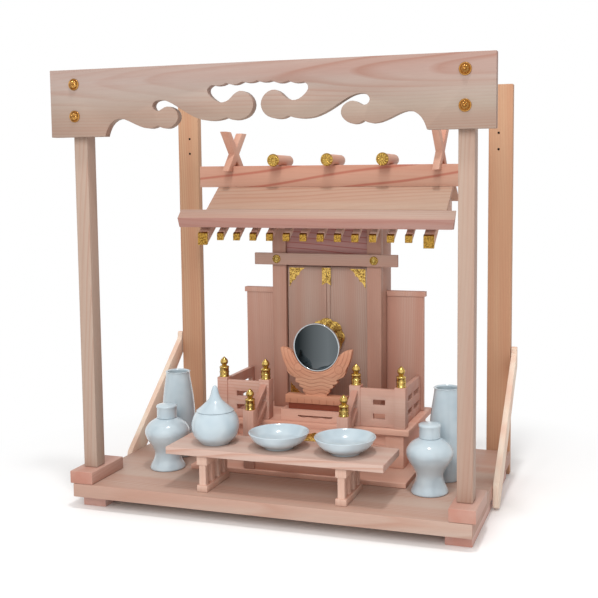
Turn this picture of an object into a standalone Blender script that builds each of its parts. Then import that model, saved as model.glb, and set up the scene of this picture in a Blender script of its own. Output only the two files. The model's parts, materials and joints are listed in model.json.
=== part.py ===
"""A household kamidana: a shelf with a cloud-cut front board, a small wooden shrine and its altar ware.

World frame: X to the right, Y to the back, Z up, in metres, with the origin under the middle of the
whole piece. Depths in the values below are measured back from the shelf's front edge, and heights
from the table top that the shelf stands on.
"""

import math

import bmesh
import bpy
from mathutils import Vector

MM = 0.001

# Clearances
SEAT = 0.3 * MM
DOOR_SIDE_GAP = 1.2 * MM
LID_GAP = 0.3 * MM

# Shelf board on two battens
SHELF_WIDTH = 527.0 * MM
SHELF_DEPTH = 305.0 * MM
SHELF_THICKNESS = 17.5 * MM
FOOT_WIDTH = 33.0 * MM
FOOT_HEIGHT = 16.5 * MM
FOOT_SIDE_INSET = 3.0 * MM
FOOT_END_RECESS = 18.0 * MM

# Front posts on their blocks
BLOCK_WIDTH = 32.5 * MM
BLOCK_LENGTH = 76.0 * MM
BLOCK_HEIGHT = 16.3 * MM
BLOCK_OVERHANG = 4.2 * MM
POST_SQUARE = 19.2 * MM
POST_SIDE_INSET = 3.5 * MM
POST_FRONT = 21.2 * MM
POST_TOP_BELOW_VALANCE = 6.0 * MM

# Cloud-cut front board
VALANCE_OVERHANG = 25.3 * MM
VALANCE_THICKNESS = 10.6 * MM
VALANCE_HEIGHT = 84.4 * MM
VALANCE_TOP = 568.0 * MM

# Rear uprights and their diagonal braces
UPRIGHT_WIDTH = 34.0 * MM
UPRIGHT_THICKNESS = 12.3 * MM
UPRIGHT_SIDE_INSET = 1.0 * MM
UPRIGHT_TOP = 562.0 * MM
BRACE_THICKNESS = 7.7 * MM
BRACE_BOTTOM = 3.0 * MM
BRACE_TOP = 188.0 * MM
BRACE_REACH = 159.3 * MM
BRACE_FRONT_CUT = 35.0 * MM
BRACE_FRONT_KNEE = 178.0 * MM
BRACE_BACK_KNEE = 159.0 * MM
BRACE_HEAD_DEPTH = 8.0 * MM
BRACE_CORNER = 4.0 * MM

# The shrine stands a little right of the shelf's middle
SHRINE_X = 7.5 * MM
PLATE_HALF = 152.0 * MM
PLATE_FRONT = 100.0 * MM
PLATE_BACK = 291.0 * MM
PLATE_THICKNESS = 6.5 * MM
PLINTH_HALF = 134.0 * MM
PLINTH_FRONT = 158.0 * MM
PLINTH_BACK = 288.0 * MM
PLINTH_HEIGHT = 45.3 * MM
PLINTH_WALL = 8.0 * MM
PLINTH_SLOT_WIDTH = 17.0 * MM
PLINTH_SLOT_HEIGHT = 12.5 * MM
PLINTH_SLOT_DROP = 3.0 * MM
PLINTH_SLOT_DEPTH = 5.0 * MM
SLOT_COLUMN = 100.0 * MM
VERANDA_HALF = 143.0 * MM
VERANDA_FRONT = 152.0 * MM
VERANDA_BACK = 289.0 * MM
VERANDA_THICKNESS = 9.0 * MM

# Stair and railings
STEP_COUNT = 3
STEP_RUN = 16.0 * MM
STEP_NOSE = 104.0 * MM
STEP_TOP_BELOW_VERANDA = 6.5 * MM
NEWEL_SQUARE = 15.0 * MM
NEWEL_FRONT = 156.0 * MM
NEWEL_HEIGHT = 55.3 * MM
NEWEL_SPREAD = 66.3 * MM
CORNER_SPREAD = 129.5 * MM
LOWER_NEWEL_FRONT = 101.5 * MM
LOWER_NEWEL_HEIGHT = 79.5 * MM
FINIAL_RADIUS = 6.6 * MM
FINIAL_HEIGHT = 28.8 * MM
RAIL_THICKNESS = 6.0 * MM
RAIL_PANEL_HEIGHT = 51.5 * MM
RAIL_TOP_BAR = 14.5 * MM
RAIL_MIDDLE_BAR = 11.5 * MM
RAIL_SLOT_HEIGHT = 7.5 * MM
RAIL_SLOT_WIDTH = 17.0 * MM
SIDE_SLOT_MARGIN = 8.0 * MM
SIDE_SLOT_POST = 9.0 * MM
HANDRAIL_WIDTH = 9.0 * MM
HANDRAIL_HEIGHT = 9.0 * MM
HANDRAIL_DROP = 29.0 * MM
HANDRAIL_TOP_DROP = 6.0 * MM
HANDRAIL_SPACING = 24.0 * MM

# Side screens on the veranda
SCREEN_FRONT = 262.0 * MM
SCREEN_THICKNESS = 6.0 * MM
SCREEN_HALF = 137.0 * MM
SCREEN_HEIGHT = 166.0 * MM
SCREEN_CAP_HEIGHT = 7.0 * MM
SCREEN_CAP_LIP = 2.5 * MM

# Shrine body
BODY_HALF = 82.2 * MM
BODY_FRONT = 231.6 * MM
BODY_BACK = 286.0 * MM
PILLAR_WIDTH = 20.6 * MM
PILLAR_DEPTH = 12.0 * MM
SILL_HEIGHT = 17.0 * MM
WALL_THICKNESS = 5.5 * MM
DOOR_HEIGHT = 190.4 * MM
DOOR_END_GAP = 0.8 * MM
DOOR_THICKNESS = 4.0 * MM
DOOR_RECESS = 5.8 * MM
DOOR_MEETING_GAP = 0.5 * MM
DOOR_PIVOT_INSET = 2.5 * MM
DOOR_STILE_WIDTH = 9.5 * MM
DOOR_STILE_PROUD = 3.0 * MM
TRANSOM_THICKNESS = 5.0 * MM
TRANSOM_RECESS = 4.4 * MM
TRANSOM_TOP = 362.0 * MM
LINTEL_HALF = 108.0 * MM
LINTEL_HEIGHT = 17.2 * MM
LINTEL_THICKNESS = 5.0 * MM
LINTEL_ABOVE_DOOR = 2.0 * MM

# Roof
RIDGE_CENTRE = 270.0 * MM
RIDGE_APEX = 428.4 * MM
ROOF_SLOPE = 0.776
ROOF_THICKNESS = 6.3 * MM
ROOF_HALF = 179.2 * MM
ROOF_FRONT_EDGE = 217.1 * MM
ROOF_BACK_EDGE = 302.0 * MM
EAVE_HALF = 201.7 * MM
EAVE_FRONT = 174.7 * MM
EAVE_FACE_TOP = 375.3 * MM
EAVE_FACE_HEIGHT = 13.0 * MM
EAVE_TOP_DEPTH = 12.0 * MM
EAVE_TOP_RISE = 12.0 * MM
EAVE_END_SLANT = 3.0 * MM
RAFTER_COUNT = 12
RAFTER_PITCH = 25.1 * MM
RAFTER_WIDTH = 9.4 * MM
RAFTER_DEPTH = 9.0 * MM
RAFTER_FRONT_TIP = 181.5 * MM
RAFTER_SHIFT = 3.0 * MM
SHEATHING_DEPTH = 3.2 * MM
SHEATHING_FRONT = 196.0 * MM
GABLE_RAFTER_X = 165.6 * MM
GABLE_RAFTER_WIDTH = 14.0 * MM
GABLE_RAFTER_DEPTH = 16.0 * MM
RIDGE_BEAM_HALF = 209.0 * MM
RIDGE_BEAM_DEPTH = 26.0 * MM
RIDGE_BEAM_TOP = 450.0 * MM
LOG_RADIUS = 8.3 * MM
LOG_LENGTH = 60.0 * MM
LOG_SPACING = 82.5 * MM
LOG_SEAT_FLAT = 1.2 * MM
CHIGI_X = 158.5 * MM
CHIGI_WIDTH = 13.0 * MM
CHIGI_THICKNESS = 10.0 * MM
CHIGI_TOP = 500.0 * MM
CHIGI_CROSSING = 468.0 * MM
CHIGI_TIP_SPREAD = 28.0 * MM
CHIGI_LEG_DROP = 8.0 * MM

# Mirror on its carved stand
MIRROR_X = 15.6 * MM
MIRROR_STEP_FRONT = 159.0 * MM
MIRROR_STEP_DEPTH = 18.5 * MM
MIRROR_STEP_HALF = 50.0 * MM
MIRROR_STEP_HEIGHT = 15.8 * MM
MIRROR_STEP_ARCH_HALF = 25.0 * MM
MIRROR_STEP_ARCH_HEIGHT = 6.0 * MM
MIRROR_BASE_HALF = 44.0 * MM
MIRROR_BASE_DEPTH = 16.0 * MM
MIRROR_BASE_HEIGHT = 20.0 * MM
MIRROR_BASE_FOOT_HEIGHT = 8.6 * MM
MIRROR_BASE_FOOT_INSET = 4.0 * MM
MIRROR_STAND_THICKNESS = 8.5 * MM
MIRROR_RADIUS = 33.6 * MM
MIRROR_THICKNESS = 5.0 * MM
MIRROR_ABOVE_BASE = 66.6 * MM
MIRROR_GAP = 0.3 * MM

# Eight-legged offering table
TABLE_X = 11.2 * MM
TABLE_FRONT = 10.0 * MM
TABLE_WIDTH = 288.0 * MM
TABLE_DEPTH = 75.0 * MM
TABLE_TOP = 91.2 * MM
TABLE_THICKNESS = 9.4 * MM
TABLE_LEG_SPREAD = 92.5 * MM
TABLE_LEG_WIDTH = 9.0 * MM
TABLE_LEG_DEPTH = 9.0 * MM
TABLE_LEGS_PER_SIDE = 4
TABLE_RAIL_FRONT = 15.5 * MM
TABLE_RAIL_LENGTH = 67.0 * MM
TABLE_RAIL_WIDTH = 14.0 * MM
TABLE_GROUND_RAIL_HEIGHT = 8.5 * MM
TABLE_TOP_RAIL_HEIGHT = 12.0 * MM

# Altar ware
DISH_RADIUS = 38.5 * MM
DISH_HEIGHT = 21.0 * MM
DISH_FOOT_RADIUS = 19.0 * MM
DISH_WALL = 2.4 * MM
DISH_DEPTH_PLACE = 47.0 * MM
WATER_DEPTH_PLACE = 44.5 * MM
WATER_RADIUS = 30.4 * MM
WATER_BODY_HEIGHT = 41.8 * MM
WATER_MOUTH_RADIUS = 23.4 * MM
WATER_FOOT_RADIUS = 18.6 * MM
WATER_LID_HEIGHT = 33.0 * MM
# Shares of the table's free length before the water vessel, before the left dish and between the dishes
ROOM_SHARES = (0.321, 0.245, 0.149)
BOTTLE_LEFT_X = -178.4 * MM
BOTTLE_RIGHT_X = 191.0 * MM
BOTTLE_BEFORE_VASE = 57.0 * MM
BOTTLE_RADIUS = 29.8 * MM
BOTTLE_WAIST_RADIUS = 17.4 * MM
BOTTLE_FOOT_RADIUS = 24.0 * MM
BOTTLE_MOUTH_RADIUS = 12.6 * MM
BOTTLE_BODY_HEIGHT = 70.0 * MM
BOTTLE_LID_RADIUS = 14.2 * MM
BOTTLE_LID_HEIGHT = 19.3 * MM
VASE_LEFT_X = -191.0 * MM
VASE_RIGHT_X = 201.0 * MM
VASE_DEPTH_PLACE = 155.0 * MM
VASE_HEIGHT = 123.0 * MM
VASE_RADIUS = 24.0 * MM
VASE_RIM_RADIUS = 17.6 * MM
VASE_FOOT_RADIUS = 17.5 * MM
VASE_WALL = 2.6 * MM

EDGE_CHAMFER = 0.6 * MM
ROUND_STEPS = 26
WIDE_STEPS = 34
FINIAL_STEPS = 12
CURVE_PIECES = 2

# Levels and places worked out from the sizes above
FRONT_Y = -(SHELF_DEPTH + SEAT + UPRIGHT_THICKNESS) / 2
SHELF_TOP = FOOT_HEIGHT + SEAT + SHELF_THICKNESS
SHELF_HALF = SHELF_WIDTH / 2
POST_OUTER = SHELF_HALF - POST_SIDE_INSET
PLATE_TOP = SHELF_TOP + SEAT + PLATE_THICKNESS
PLINTH_BOTTOM = PLATE_TOP + SEAT
PLINTH_TOP = PLINTH_BOTTOM + PLINTH_HEIGHT
VERANDA_BOTTOM = PLINTH_TOP + SEAT
VERANDA_TOP = VERANDA_BOTTOM + VERANDA_THICKNESS
ON_VERANDA = VERANDA_TOP + SEAT
NEWEL_CENTRE_Y = NEWEL_FRONT + NEWEL_SQUARE / 2
LOWER_NEWEL_CENTRE_Y = LOWER_NEWEL_FRONT + NEWEL_SQUARE / 2
RAIL_CENTRE_Y = NEWEL_FRONT + 2 * MM + RAIL_THICKNESS / 2
BODY_BOTTOM = ON_VERANDA
DOOR_BOTTOM = BODY_BOTTOM + SILL_HEIGHT + DOOR_END_GAP
DOOR_TOP = DOOR_BOTTOM + DOOR_HEIGHT
OPENING_HALF = BODY_HALF - PILLAR_WIDTH
DOOR_FRONT = BODY_FRONT + DOOR_RECESS
PIVOT_X = OPENING_HALF - DOOR_SIDE_GAP - DOOR_PIVOT_INSET
PIVOT_Y = DOOR_FRONT + DOOR_THICKNESS / 2
TRANSOM_BOTTOM = DOOR_TOP + DOOR_END_GAP
TABLE_UNDERSIDE = TABLE_TOP - TABLE_THICKNESS
TABLE_ROOM = TABLE_WIDTH - 2 * WATER_RADIUS - 4 * DISH_RADIUS
WATER_X = TABLE_X - TABLE_WIDTH / 2 + ROOM_SHARES[0] * TABLE_ROOM + WATER_RADIUS
DISH_LEFT_X = WATER_X + WATER_RADIUS + ROOM_SHARES[1] * TABLE_ROOM + DISH_RADIUS
DISH_RIGHT_X = DISH_LEFT_X + 2 * DISH_RADIUS + ROOM_SHARES[2] * TABLE_ROOM


def roof_line(depth):
    """Height of the roof boards' upper face at a depth, on either side of the ridge."""
    return RIDGE_APEX - ROOF_SLOPE * abs(depth - RIDGE_CENTRE)


def rafter_line(depth):
    """Height of the rafters' upper face at a depth."""
    return roof_line(depth) - ROOF_THICKNESS - SEAT * 1.3


def clear_scene():
    """Remove whatever the file holds."""
    for item in list(bpy.data.objects):
        bpy.data.objects.remove(item, do_unlink=True)


def new_collection(name):
    """Make a collection under the scene's own."""
    group = bpy.data.collections.new(name)
    bpy.context.scene.collection.children.link(group)
    return group


clear_scene()
PARTS = new_collection("kamidana")
CUTTERS = new_collection("kamidana_cutters")


def make_material(name, colour, roughness, metallic=0.0):
    """A Principled material with the finish of one sub-part."""
    material = bpy.data.materials.new(name)
    material.use_nodes = True
    shader = material.node_tree.nodes["Principled BSDF"]
    shader.inputs["Base Color"].default_value = (*colour, 1.0)
    shader.inputs["Roughness"].default_value = roughness
    shader.inputs["Metallic"].default_value = metallic
    material.diffuse_color = (*colour, 1.0)
    return material


WOOD_PALE = (0.62, 0.40, 0.29)
WOOD_PINK = (0.55, 0.31, 0.23)
PORCELAIN = (0.72, 0.80, 0.84)
SILVER = (0.75, 0.77, 0.79)


def finish(item, name, colour, roughness, metallic=0.0):
    """Name an object, file it with the parts and give it its own material."""
    item.name = name
    for group in list(item.users_collection):
        group.objects.unlink(item)
    PARTS.objects.link(item)
    item.data.materials.clear()
    item.data.materials.append(make_material(name + "_finish", colour, roughness, metallic))
    return item


def wood(item, name, colour=WOOD_PALE):
    """Finish an object as planed softwood."""
    return finish(item, name, colour, 0.6)


def as_cutter(item):
    """File an object with the cutters, drawn as wire and left out of renders."""
    for group in list(item.users_collection):
        group.objects.unlink(item)
    CUTTERS.objects.link(item)
    item.hide_render = True
    item.display_type = "WIRE"
    return item


def mesh_object(name, mesh_builder):
    """Make a mesh object from a bmesh."""
    mesh = bpy.data.meshes.new(name)
    bmesh.ops.recalc_face_normals(mesh_builder, faces=mesh_builder.faces)
    mesh_builder.to_mesh(mesh)
    mesh_builder.free()
    item = bpy.data.objects.new(name, mesh)
    bpy.context.scene.collection.objects.link(item)
    return item


def add_box(builder, x_span, y_span, z_span):
    """Add a box to a bmesh from its spans along X, depth and Z."""
    size = Vector((x_span[1] - x_span[0], y_span[1] - y_span[0], z_span[1] - z_span[0]))
    middle = Vector((sum(x_span) / 2, sum(y_span) / 2 + FRONT_Y, sum(z_span) / 2))
    made = bmesh.ops.create_cube(builder, size=1.0)
    for vertex in made["verts"]:
        vertex.co = Vector(a * b for a, b in zip(vertex.co, size)) + middle


def boxes(name, spans):
    """One object that holds a box for each (x, depth, z) span."""
    builder = bmesh.new()
    for x_span, y_span, z_span in spans:
        add_box(builder, x_span, y_span, z_span)
    return mesh_object(name, builder)


def box(name, x_span, y_span, z_span):
    """A single box."""
    return boxes(name, [(x_span, y_span, z_span)])


def prism(name, outline, span, axis):
    """Extrude an outline along X from (depth, z) points, or along Z from (x, depth) points."""
    builder = bmesh.new()
    ring = []
    for first, second in outline:
        if axis == "X":
            ring.append(builder.verts.new((span[0], first + FRONT_Y, second)))
        else:
            ring.append(builder.verts.new((first, second + FRONT_Y, span[0])))
    face = builder.faces.new(ring)
    moved = bmesh.ops.extrude_face_region(builder, geom=[face])
    step = (span[1] - span[0], 0, 0) if axis == "X" else (0, 0, span[1] - span[0])
    tops = [part for part in moved["geom"] if isinstance(part, bmesh.types.BMVert)]
    bmesh.ops.translate(builder, vec=step, verts=tops)
    return mesh_object(name, builder)


def board_from_outline(name, outlines, depth_span, place_x=0.0):
    """A flat upright board from closed (x, z) outlines: the first is its edge, the rest are holes."""
    curve = bpy.data.curves.new(name, "CURVE")
    curve.dimensions = "2D"
    curve.fill_mode = "BOTH"
    curve.extrude = (depth_span[1] - depth_span[0]) / 2
    for outline in outlines:
        spline = curve.splines.new("POLY")
        spline.points.add(len(outline) - 1)
        spline.use_cyclic_u = True
        for point, (across, up) in zip(spline.points, outline):
            point.co = (across, up, 0.0, 1.0)
    item = bpy.data.objects.new(name, curve)
    item.location = (place_x, sum(depth_span) / 2 + FRONT_Y, 0.0)
    item.rotation_euler = (math.pi / 2, 0.0, 0.0)
    bpy.context.scene.collection.objects.link(item)
    return item


def to_mesh_object(item, name):
    """Turn a curve object into a welded mesh object at the same place."""
    bpy.context.view_layer.update()
    graph = bpy.context.evaluated_depsgraph_get()
    mesh = bpy.data.meshes.new_from_object(item.evaluated_get(graph))
    builder = bmesh.new()
    builder.from_mesh(mesh)
    bmesh.ops.remove_doubles(builder, verts=builder.verts, dist=0.00001)
    builder.transform(item.matrix_world)
    builder.to_mesh(mesh)
    builder.free()
    made = bpy.data.objects.new(name, mesh)
    bpy.context.scene.collection.objects.link(made)
    bpy.data.objects.remove(item, do_unlink=True)
    return made


def chamfer(item, width=EDGE_CHAMFER):
    """Break the sharp edges of a piece."""
    bevel = item.modifiers.new("edges", "BEVEL")
    bevel.width = width
    bevel.segments = 1
    bevel.limit_method = "ANGLE"
    bevel.angle_limit = math.radians(40)
    return item


def boolean(item, other, operation):
    """Cut or join a piece with another, which becomes a cutter."""
    step = item.modifiers.new(operation.lower(), "BOOLEAN")
    step.operation = operation
    step.solver = "EXACT"
    step.object = as_cutter(other)
    return item


def turned(name, profile, place, bottom, steps=ROUND_STEPS):
    """Turn a closed (radius, height) profile, listed down its outer side, about a vertical axis."""
    mesh = bpy.data.meshes.new(name)
    builder = bmesh.new()
    points = [builder.verts.new((radius, 0.0, height)) for radius, height in profile]
    for first, second in zip(points, points[1:]):
        builder.edges.new((first, second))
    builder.to_mesh(mesh)
    builder.free()
    item = bpy.data.objects.new(name, mesh)
    item.location = (place[0], place[1] + FRONT_Y, bottom)
    bpy.context.scene.collection.objects.link(item)
    screw = item.modifiers.new("turn", "SCREW")
    screw.steps = steps
    screw.render_steps = steps
    screw.use_merge_vertices = True
    screw.merge_threshold = 0.00001
    screw.use_smooth_shade = True
    return item


def smooth_run(points, pieces):
    """Points of a Catmull-Rom curve through a list of points, with its ends kept."""
    run = []
    last = len(points) - 1
    for index in range(last):
        before = points[max(index - 1, 0)]
        start = points[index]
        end = points[index + 1]
        after = points[min(index + 2, last)]
        for piece in range(pieces):
            t = piece / pieces
            run.append(tuple(
                0.5 * (2 * b + (c - a) * t + (2 * a - 5 * b + 4 * c - d) * t * t
                       + (3 * b - a - 3 * c + d) * t ** 3)
                for a, b, c, d in zip(before, start, end, after)))
    run.append(points[-1])
    return run


def mirrored_span(side, near, far, middle=0.0):
    """The X span of a piece from its distances to a middle, on the side -1 or 1."""
    return tuple(sorted((middle + side * near, middle + side * far)))


# Shelf, battens, blocks and posts


def build_shelf():
    """The shelf board and the two battens that it stands on."""
    shelf = box("shelf", (-SHELF_HALF, SHELF_HALF), (0, SHELF_DEPTH), (FOOT_HEIGHT + SEAT, SHELF_TOP))
    wood(chamfer(shelf), "shelf_board")
    for side, word in ((-1, "left"), (1, "right")):
        outer = SHELF_HALF - FOOT_SIDE_INSET
        spans = (mirrored_span(side, outer - FOOT_WIDTH, outer),
                 (FOOT_END_RECESS, SHELF_DEPTH - FOOT_END_RECESS), (0, FOOT_HEIGHT))
        wood(chamfer(box("foot", *spans)), "foot_" + word, WOOD_PINK)


def build_posts():
    """The front posts, each on a block that lies front to back."""
    block_outer = SHELF_HALF + BLOCK_OVERHANG
    block_bottom = SHELF_TOP + SEAT
    block_top = block_bottom + BLOCK_HEIGHT
    for side, word in ((-1, "left"), (1, "right")):
        block = box("block", mirrored_span(side, block_outer - BLOCK_WIDTH, block_outer),
                    (0, BLOCK_LENGTH), (block_bottom, block_top))
        wood(chamfer(block), "post_block_" + word, WOOD_PINK)
        post = box("post", mirrored_span(side, POST_OUTER - POST_SQUARE, POST_OUTER),
                   (POST_FRONT, POST_FRONT + POST_SQUARE),
                   (block_top + SEAT, VALANCE_TOP - POST_TOP_BELOW_VALANCE))
        wood(chamfer(post), "post_" + word)


# Half of the cloud cut, in millimetres: across from the middle, up from the board's lower edge
CLOUD_RUNS = (
    ((207, 0), (205, 6), (200.5, 14), (193, 20), (184, 21.6), (174, 18.6), (163, 13.6), (152, 9.6),
     (143.5, 8.6)),
    ((143.5, 8.6), (138, 9.6), (132.5, 12)),
    ((132.5, 12), (127.5, 9.2), (120.5, 8.2), (112.5, 11), (106.3, 17), (105, 23.5), (108, 30),
     (116, 34.6), (123.5, 34), (130.5, 30.2), (136.6, 30.6), (139.8, 35.4), (138, 40), (133.6, 42.4),
     (126.3, 42.9), (117.3, 40.4), (107.5, 35.2), (96, 28.2), (84, 21.8), (71.5, 17.4), (58, 16.1),
     (46, 17.6), (40, 19.8)),
    ((40, 19.8), (33, 16.8), (24, 16.6), (14, 19.6), (7.6, 25.4), (4.7, 34), (7.4, 42.6), (14.5, 49),
     (23, 50.6), (30.6, 46.6), (37, 40.6), (44.9, 37.8), (52.6, 39), (60, 44.1), (64.6, 50),
     (64, 55.3), (59, 58.6)),
    ((59, 58.6), (52.6, 57.6), (45.5, 58.2), (40, 60.4)),
    ((40, 60.4), (33, 58.4), (26, 58.6), (19, 61.4)),
    ((19, 61.4), (12, 60), (5, 60.4), (0, 62)),
)
CLOUD_PIECES = 2


def cloud_half():
    """The cloud cut from the flat lower edge to the middle of the board, in metres."""
    half = []
    for run in CLOUD_RUNS:
        half += smooth_run([(across * MM, up * MM) for across, up in run], CLOUD_PIECES)[:-1]
    half.append((CLOUD_RUNS[-1][-1][0] * MM, CLOUD_RUNS[-1][-1][1] * MM))
    return half


def build_valance():
    """The front board between the posts' faces, its lower edge sawn into clouds."""
    bottom = VALANCE_TOP - VALANCE_HEIGHT
    right = [(across, bottom + up) for across, up in cloud_half()]
    left = [(-across, up) for across, up in reversed(right[:-1])]
    half = POST_OUTER + VALANCE_OVERHANG
    outline = [(half, VALANCE_TOP), (half, bottom), *right, *left, (-half, bottom), (-half, VALANCE_TOP)]
    back = POST_FRONT - SEAT
    board = board_from_outline("valance", [outline], (back - VALANCE_THICKNESS, back))
    wood(board, "valance_board")


def rounded(points, radius, pieces=3):
    """A closed outline with each corner cut by a small arc."""
    result = []
    count = len(points)
    for index, corner in enumerate(points):
        here = Vector(corner)
        before = (Vector(points[index - 1]) - here).normalized() * radius
        after = (Vector(points[(index + 1) % count]) - here).normalized() * radius
        for piece in range(pieces + 1):
            t = piece / pieces
            point = here + before * (1 - t) ** 2 + after * t ** 2
            result.append((point.x, point.y))
    return result


def build_uprights():
    """The boards behind the shelf and the diagonal bars that hold them square."""
    outer = SHELF_HALF - UPRIGHT_SIDE_INSET
    front = SHELF_DEPTH + SEAT
    back = front + UPRIGHT_THICKNESS
    head_back = front + BRACE_HEAD_DEPTH
    outline = [(front - BRACE_REACH, BRACE_BOTTOM), (front - BRACE_REACH, BRACE_FRONT_CUT),
               (front, BRACE_FRONT_KNEE), (front, BRACE_TOP), (head_back, BRACE_TOP),
               (head_back, BRACE_BACK_KNEE),
               (head_back - BRACE_BACK_KNEE + BRACE_BOTTOM, BRACE_BOTTOM)]
    for side, word in ((-1, "left"), (1, "right")):
        upright = box("upright", mirrored_span(side, outer - UPRIGHT_WIDTH, outer), (front, back),
                      (0, UPRIGHT_TOP))
        wood(chamfer(upright), "upright_" + word)
        inner = SHELF_HALF + SEAT
        brace = prism("brace", rounded(outline, BRACE_CORNER),
                      mirrored_span(side, inner, inner + BRACE_THICKNESS), "X")
        wood(brace, "brace_" + word, WOOD_PINK)


# Shrine: plate, plinth, veranda and stair


def shrine_box(name, half, y_span, z_span):
    """A box that is symmetrical about the shrine's middle."""
    return box(name, (SHRINE_X - half, SHRINE_X + half), y_span, z_span)


def build_platform():
    """The ground plate, the hollow plinth with its slots, and the veranda floor on top."""
    plate = shrine_box("plate", PLATE_HALF, (PLATE_FRONT, PLATE_BACK), (SHELF_TOP + SEAT, PLATE_TOP))
    wood(chamfer(plate), "ground_plate")
    plinth = shrine_box("plinth", PLINTH_HALF, (PLINTH_FRONT, PLINTH_BACK), (PLINTH_BOTTOM, PLINTH_TOP))
    inside = shrine_box("plinth_inside", PLINTH_HALF - PLINTH_WALL,
                        (PLINTH_FRONT + PLINTH_WALL, PLINTH_BACK - PLINTH_WALL),
                        (PLINTH_BOTTOM - PLINTH_WALL, PLINTH_TOP + PLINTH_WALL))
    boolean(plinth, inside, "DIFFERENCE")
    slot_top = PLINTH_TOP - PLINTH_SLOT_DROP
    slots = boxes("plinth_slots", [
        (mirrored_span(side, SLOT_COLUMN - PLINTH_SLOT_WIDTH / 2, SLOT_COLUMN + PLINTH_SLOT_WIDTH / 2,
                       SHRINE_X),
         (PLINTH_FRONT - PLINTH_WALL, PLINTH_FRONT + PLINTH_SLOT_DEPTH),
         (slot_top - PLINTH_SLOT_HEIGHT, slot_top)) for side in (-1, 1)])
    wood(boolean(plinth, slots, "DIFFERENCE"), "plinth_box")
    floor = shrine_box("floor", VERANDA_HALF, (VERANDA_FRONT, VERANDA_BACK), (VERANDA_BOTTOM, VERANDA_TOP))
    wood(chamfer(floor, 2 * EDGE_CHAMFER), "veranda_floor")


def build_stair():
    """Three steps that climb from the ground plate to the veranda."""
    top = VERANDA_TOP - STEP_TOP_BELOW_VERANDA
    rise = (top - PLINTH_BOTTOM) / STEP_COUNT
    outline = [(VERANDA_FRONT - SEAT, PLINTH_BOTTOM), (STEP_NOSE, PLINTH_BOTTOM)]
    for step in range(STEP_COUNT):
        front = STEP_NOSE + step * STEP_RUN
        tread = PLINTH_BOTTOM + (step + 1) * rise
        outline.append((front, tread))
        outline.append((front + STEP_RUN if step < STEP_COUNT - 1 else VERANDA_FRONT - SEAT, tread))
    half = NEWEL_SPREAD - NEWEL_SQUARE / 2 - SEAT
    wood(prism("stair", outline, (SHRINE_X - half, SHRINE_X + half), "X"), "stair")


# Railings


def finial(place):
    """A turned onion cap with its sleeve, its foot sunk into the newel's head at (x, depth, z)."""
    neck = FINIAL_HEIGHT * 0.55
    profile = [
        (0.0, FINIAL_HEIGHT),
        (FINIAL_RADIUS * 0.2, FINIAL_HEIGHT * 0.97),
        (FINIAL_RADIUS * 0.6, FINIAL_HEIGHT * 0.9),
        (FINIAL_RADIUS * 0.85, FINIAL_HEIGHT * 0.8),
        (FINIAL_RADIUS * 0.85, FINIAL_HEIGHT * 0.7),
        (FINIAL_RADIUS * 0.6, FINIAL_HEIGHT * 0.6),
        (FINIAL_RADIUS * 0.5, neck),
        (FINIAL_RADIUS * 0.95, neck - 1.6 * MM),
        (FINIAL_RADIUS, neck - 3 * MM),
        (FINIAL_RADIUS, -2 * MM),
        (0.0, -2 * MM),
    ]
    return turned("finial", profile, place[:2], place[2], FINIAL_STEPS)


def newel_span(centre_x, front, bottom, height):
    """The box of one newel."""
    return ((centre_x - NEWEL_SQUARE / 2, centre_x + NEWEL_SQUARE / 2), (front, front + NEWEL_SQUARE),
            (bottom, bottom + height))


def slot_rows(bottom):
    """The heights of the two rows of slots in a railing panel."""
    top = bottom + RAIL_PANEL_HEIGHT - RAIL_TOP_BAR
    below = top - RAIL_SLOT_HEIGHT - RAIL_MIDDLE_BAR
    return ((top - RAIL_SLOT_HEIGHT, top), (below - RAIL_SLOT_HEIGHT, below))


def build_railing(side, word):
    """The railing round one front corner of the veranda, with its two newels."""
    inner_x = SHRINE_X + side * NEWEL_SPREAD
    corner_x = SHRINE_X + side * CORNER_SPREAD
    railing = boxes("railing", [newel_span(inner_x, NEWEL_FRONT, ON_VERANDA, NEWEL_HEIGHT),
                                newel_span(corner_x, NEWEL_FRONT, ON_VERANDA, NEWEL_HEIGHT)])
    lap = 2 * MM
    bottom = ON_VERANDA + SEAT
    height = (bottom, bottom + RAIL_PANEL_HEIGHT)
    near = NEWEL_SPREAD + NEWEL_SQUARE / 2 - lap
    far = CORNER_SPREAD - NEWEL_SQUARE / 2 + lap
    side_front = NEWEL_FRONT + NEWEL_SQUARE
    side_back = SCREEN_FRONT - SEAT
    half_rail = RAIL_THICKNESS / 2
    panels = boxes("panels", [
        (mirrored_span(side, near, far, SHRINE_X), (RAIL_CENTRE_Y - half_rail, RAIL_CENTRE_Y + half_rail),
         height),
        ((corner_x - half_rail, corner_x + half_rail), (side_front - lap, side_back), height)])
    boolean(railing, panels, "UNION")
    slot_length = (side_back - side_front - 2 * SIDE_SLOT_MARGIN - SIDE_SLOT_POST) / 2
    slots = []
    for row in slot_rows(bottom):
        slots.append((mirrored_span(side, SLOT_COLUMN - RAIL_SLOT_WIDTH / 2,
                                    SLOT_COLUMN + RAIL_SLOT_WIDTH / 2, SHRINE_X),
                      (RAIL_CENTRE_Y - RAIL_THICKNESS, RAIL_CENTRE_Y + RAIL_THICKNESS), row))
        for index in range(2):
            start = side_front + SIDE_SLOT_MARGIN + index * (slot_length + SIDE_SLOT_POST)
            slots.append(((corner_x - RAIL_THICKNESS, corner_x + RAIL_THICKNESS),
                          (start, start + slot_length), row))
    boolean(railing, boxes("slots", slots), "DIFFERENCE")
    for centre_x in (inner_x, corner_x):
        cap = finial((centre_x, NEWEL_CENTRE_Y, ON_VERANDA + NEWEL_HEIGHT))
        boolean(railing, cap, "UNION")
    wood(railing, "railing_" + word)


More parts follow.
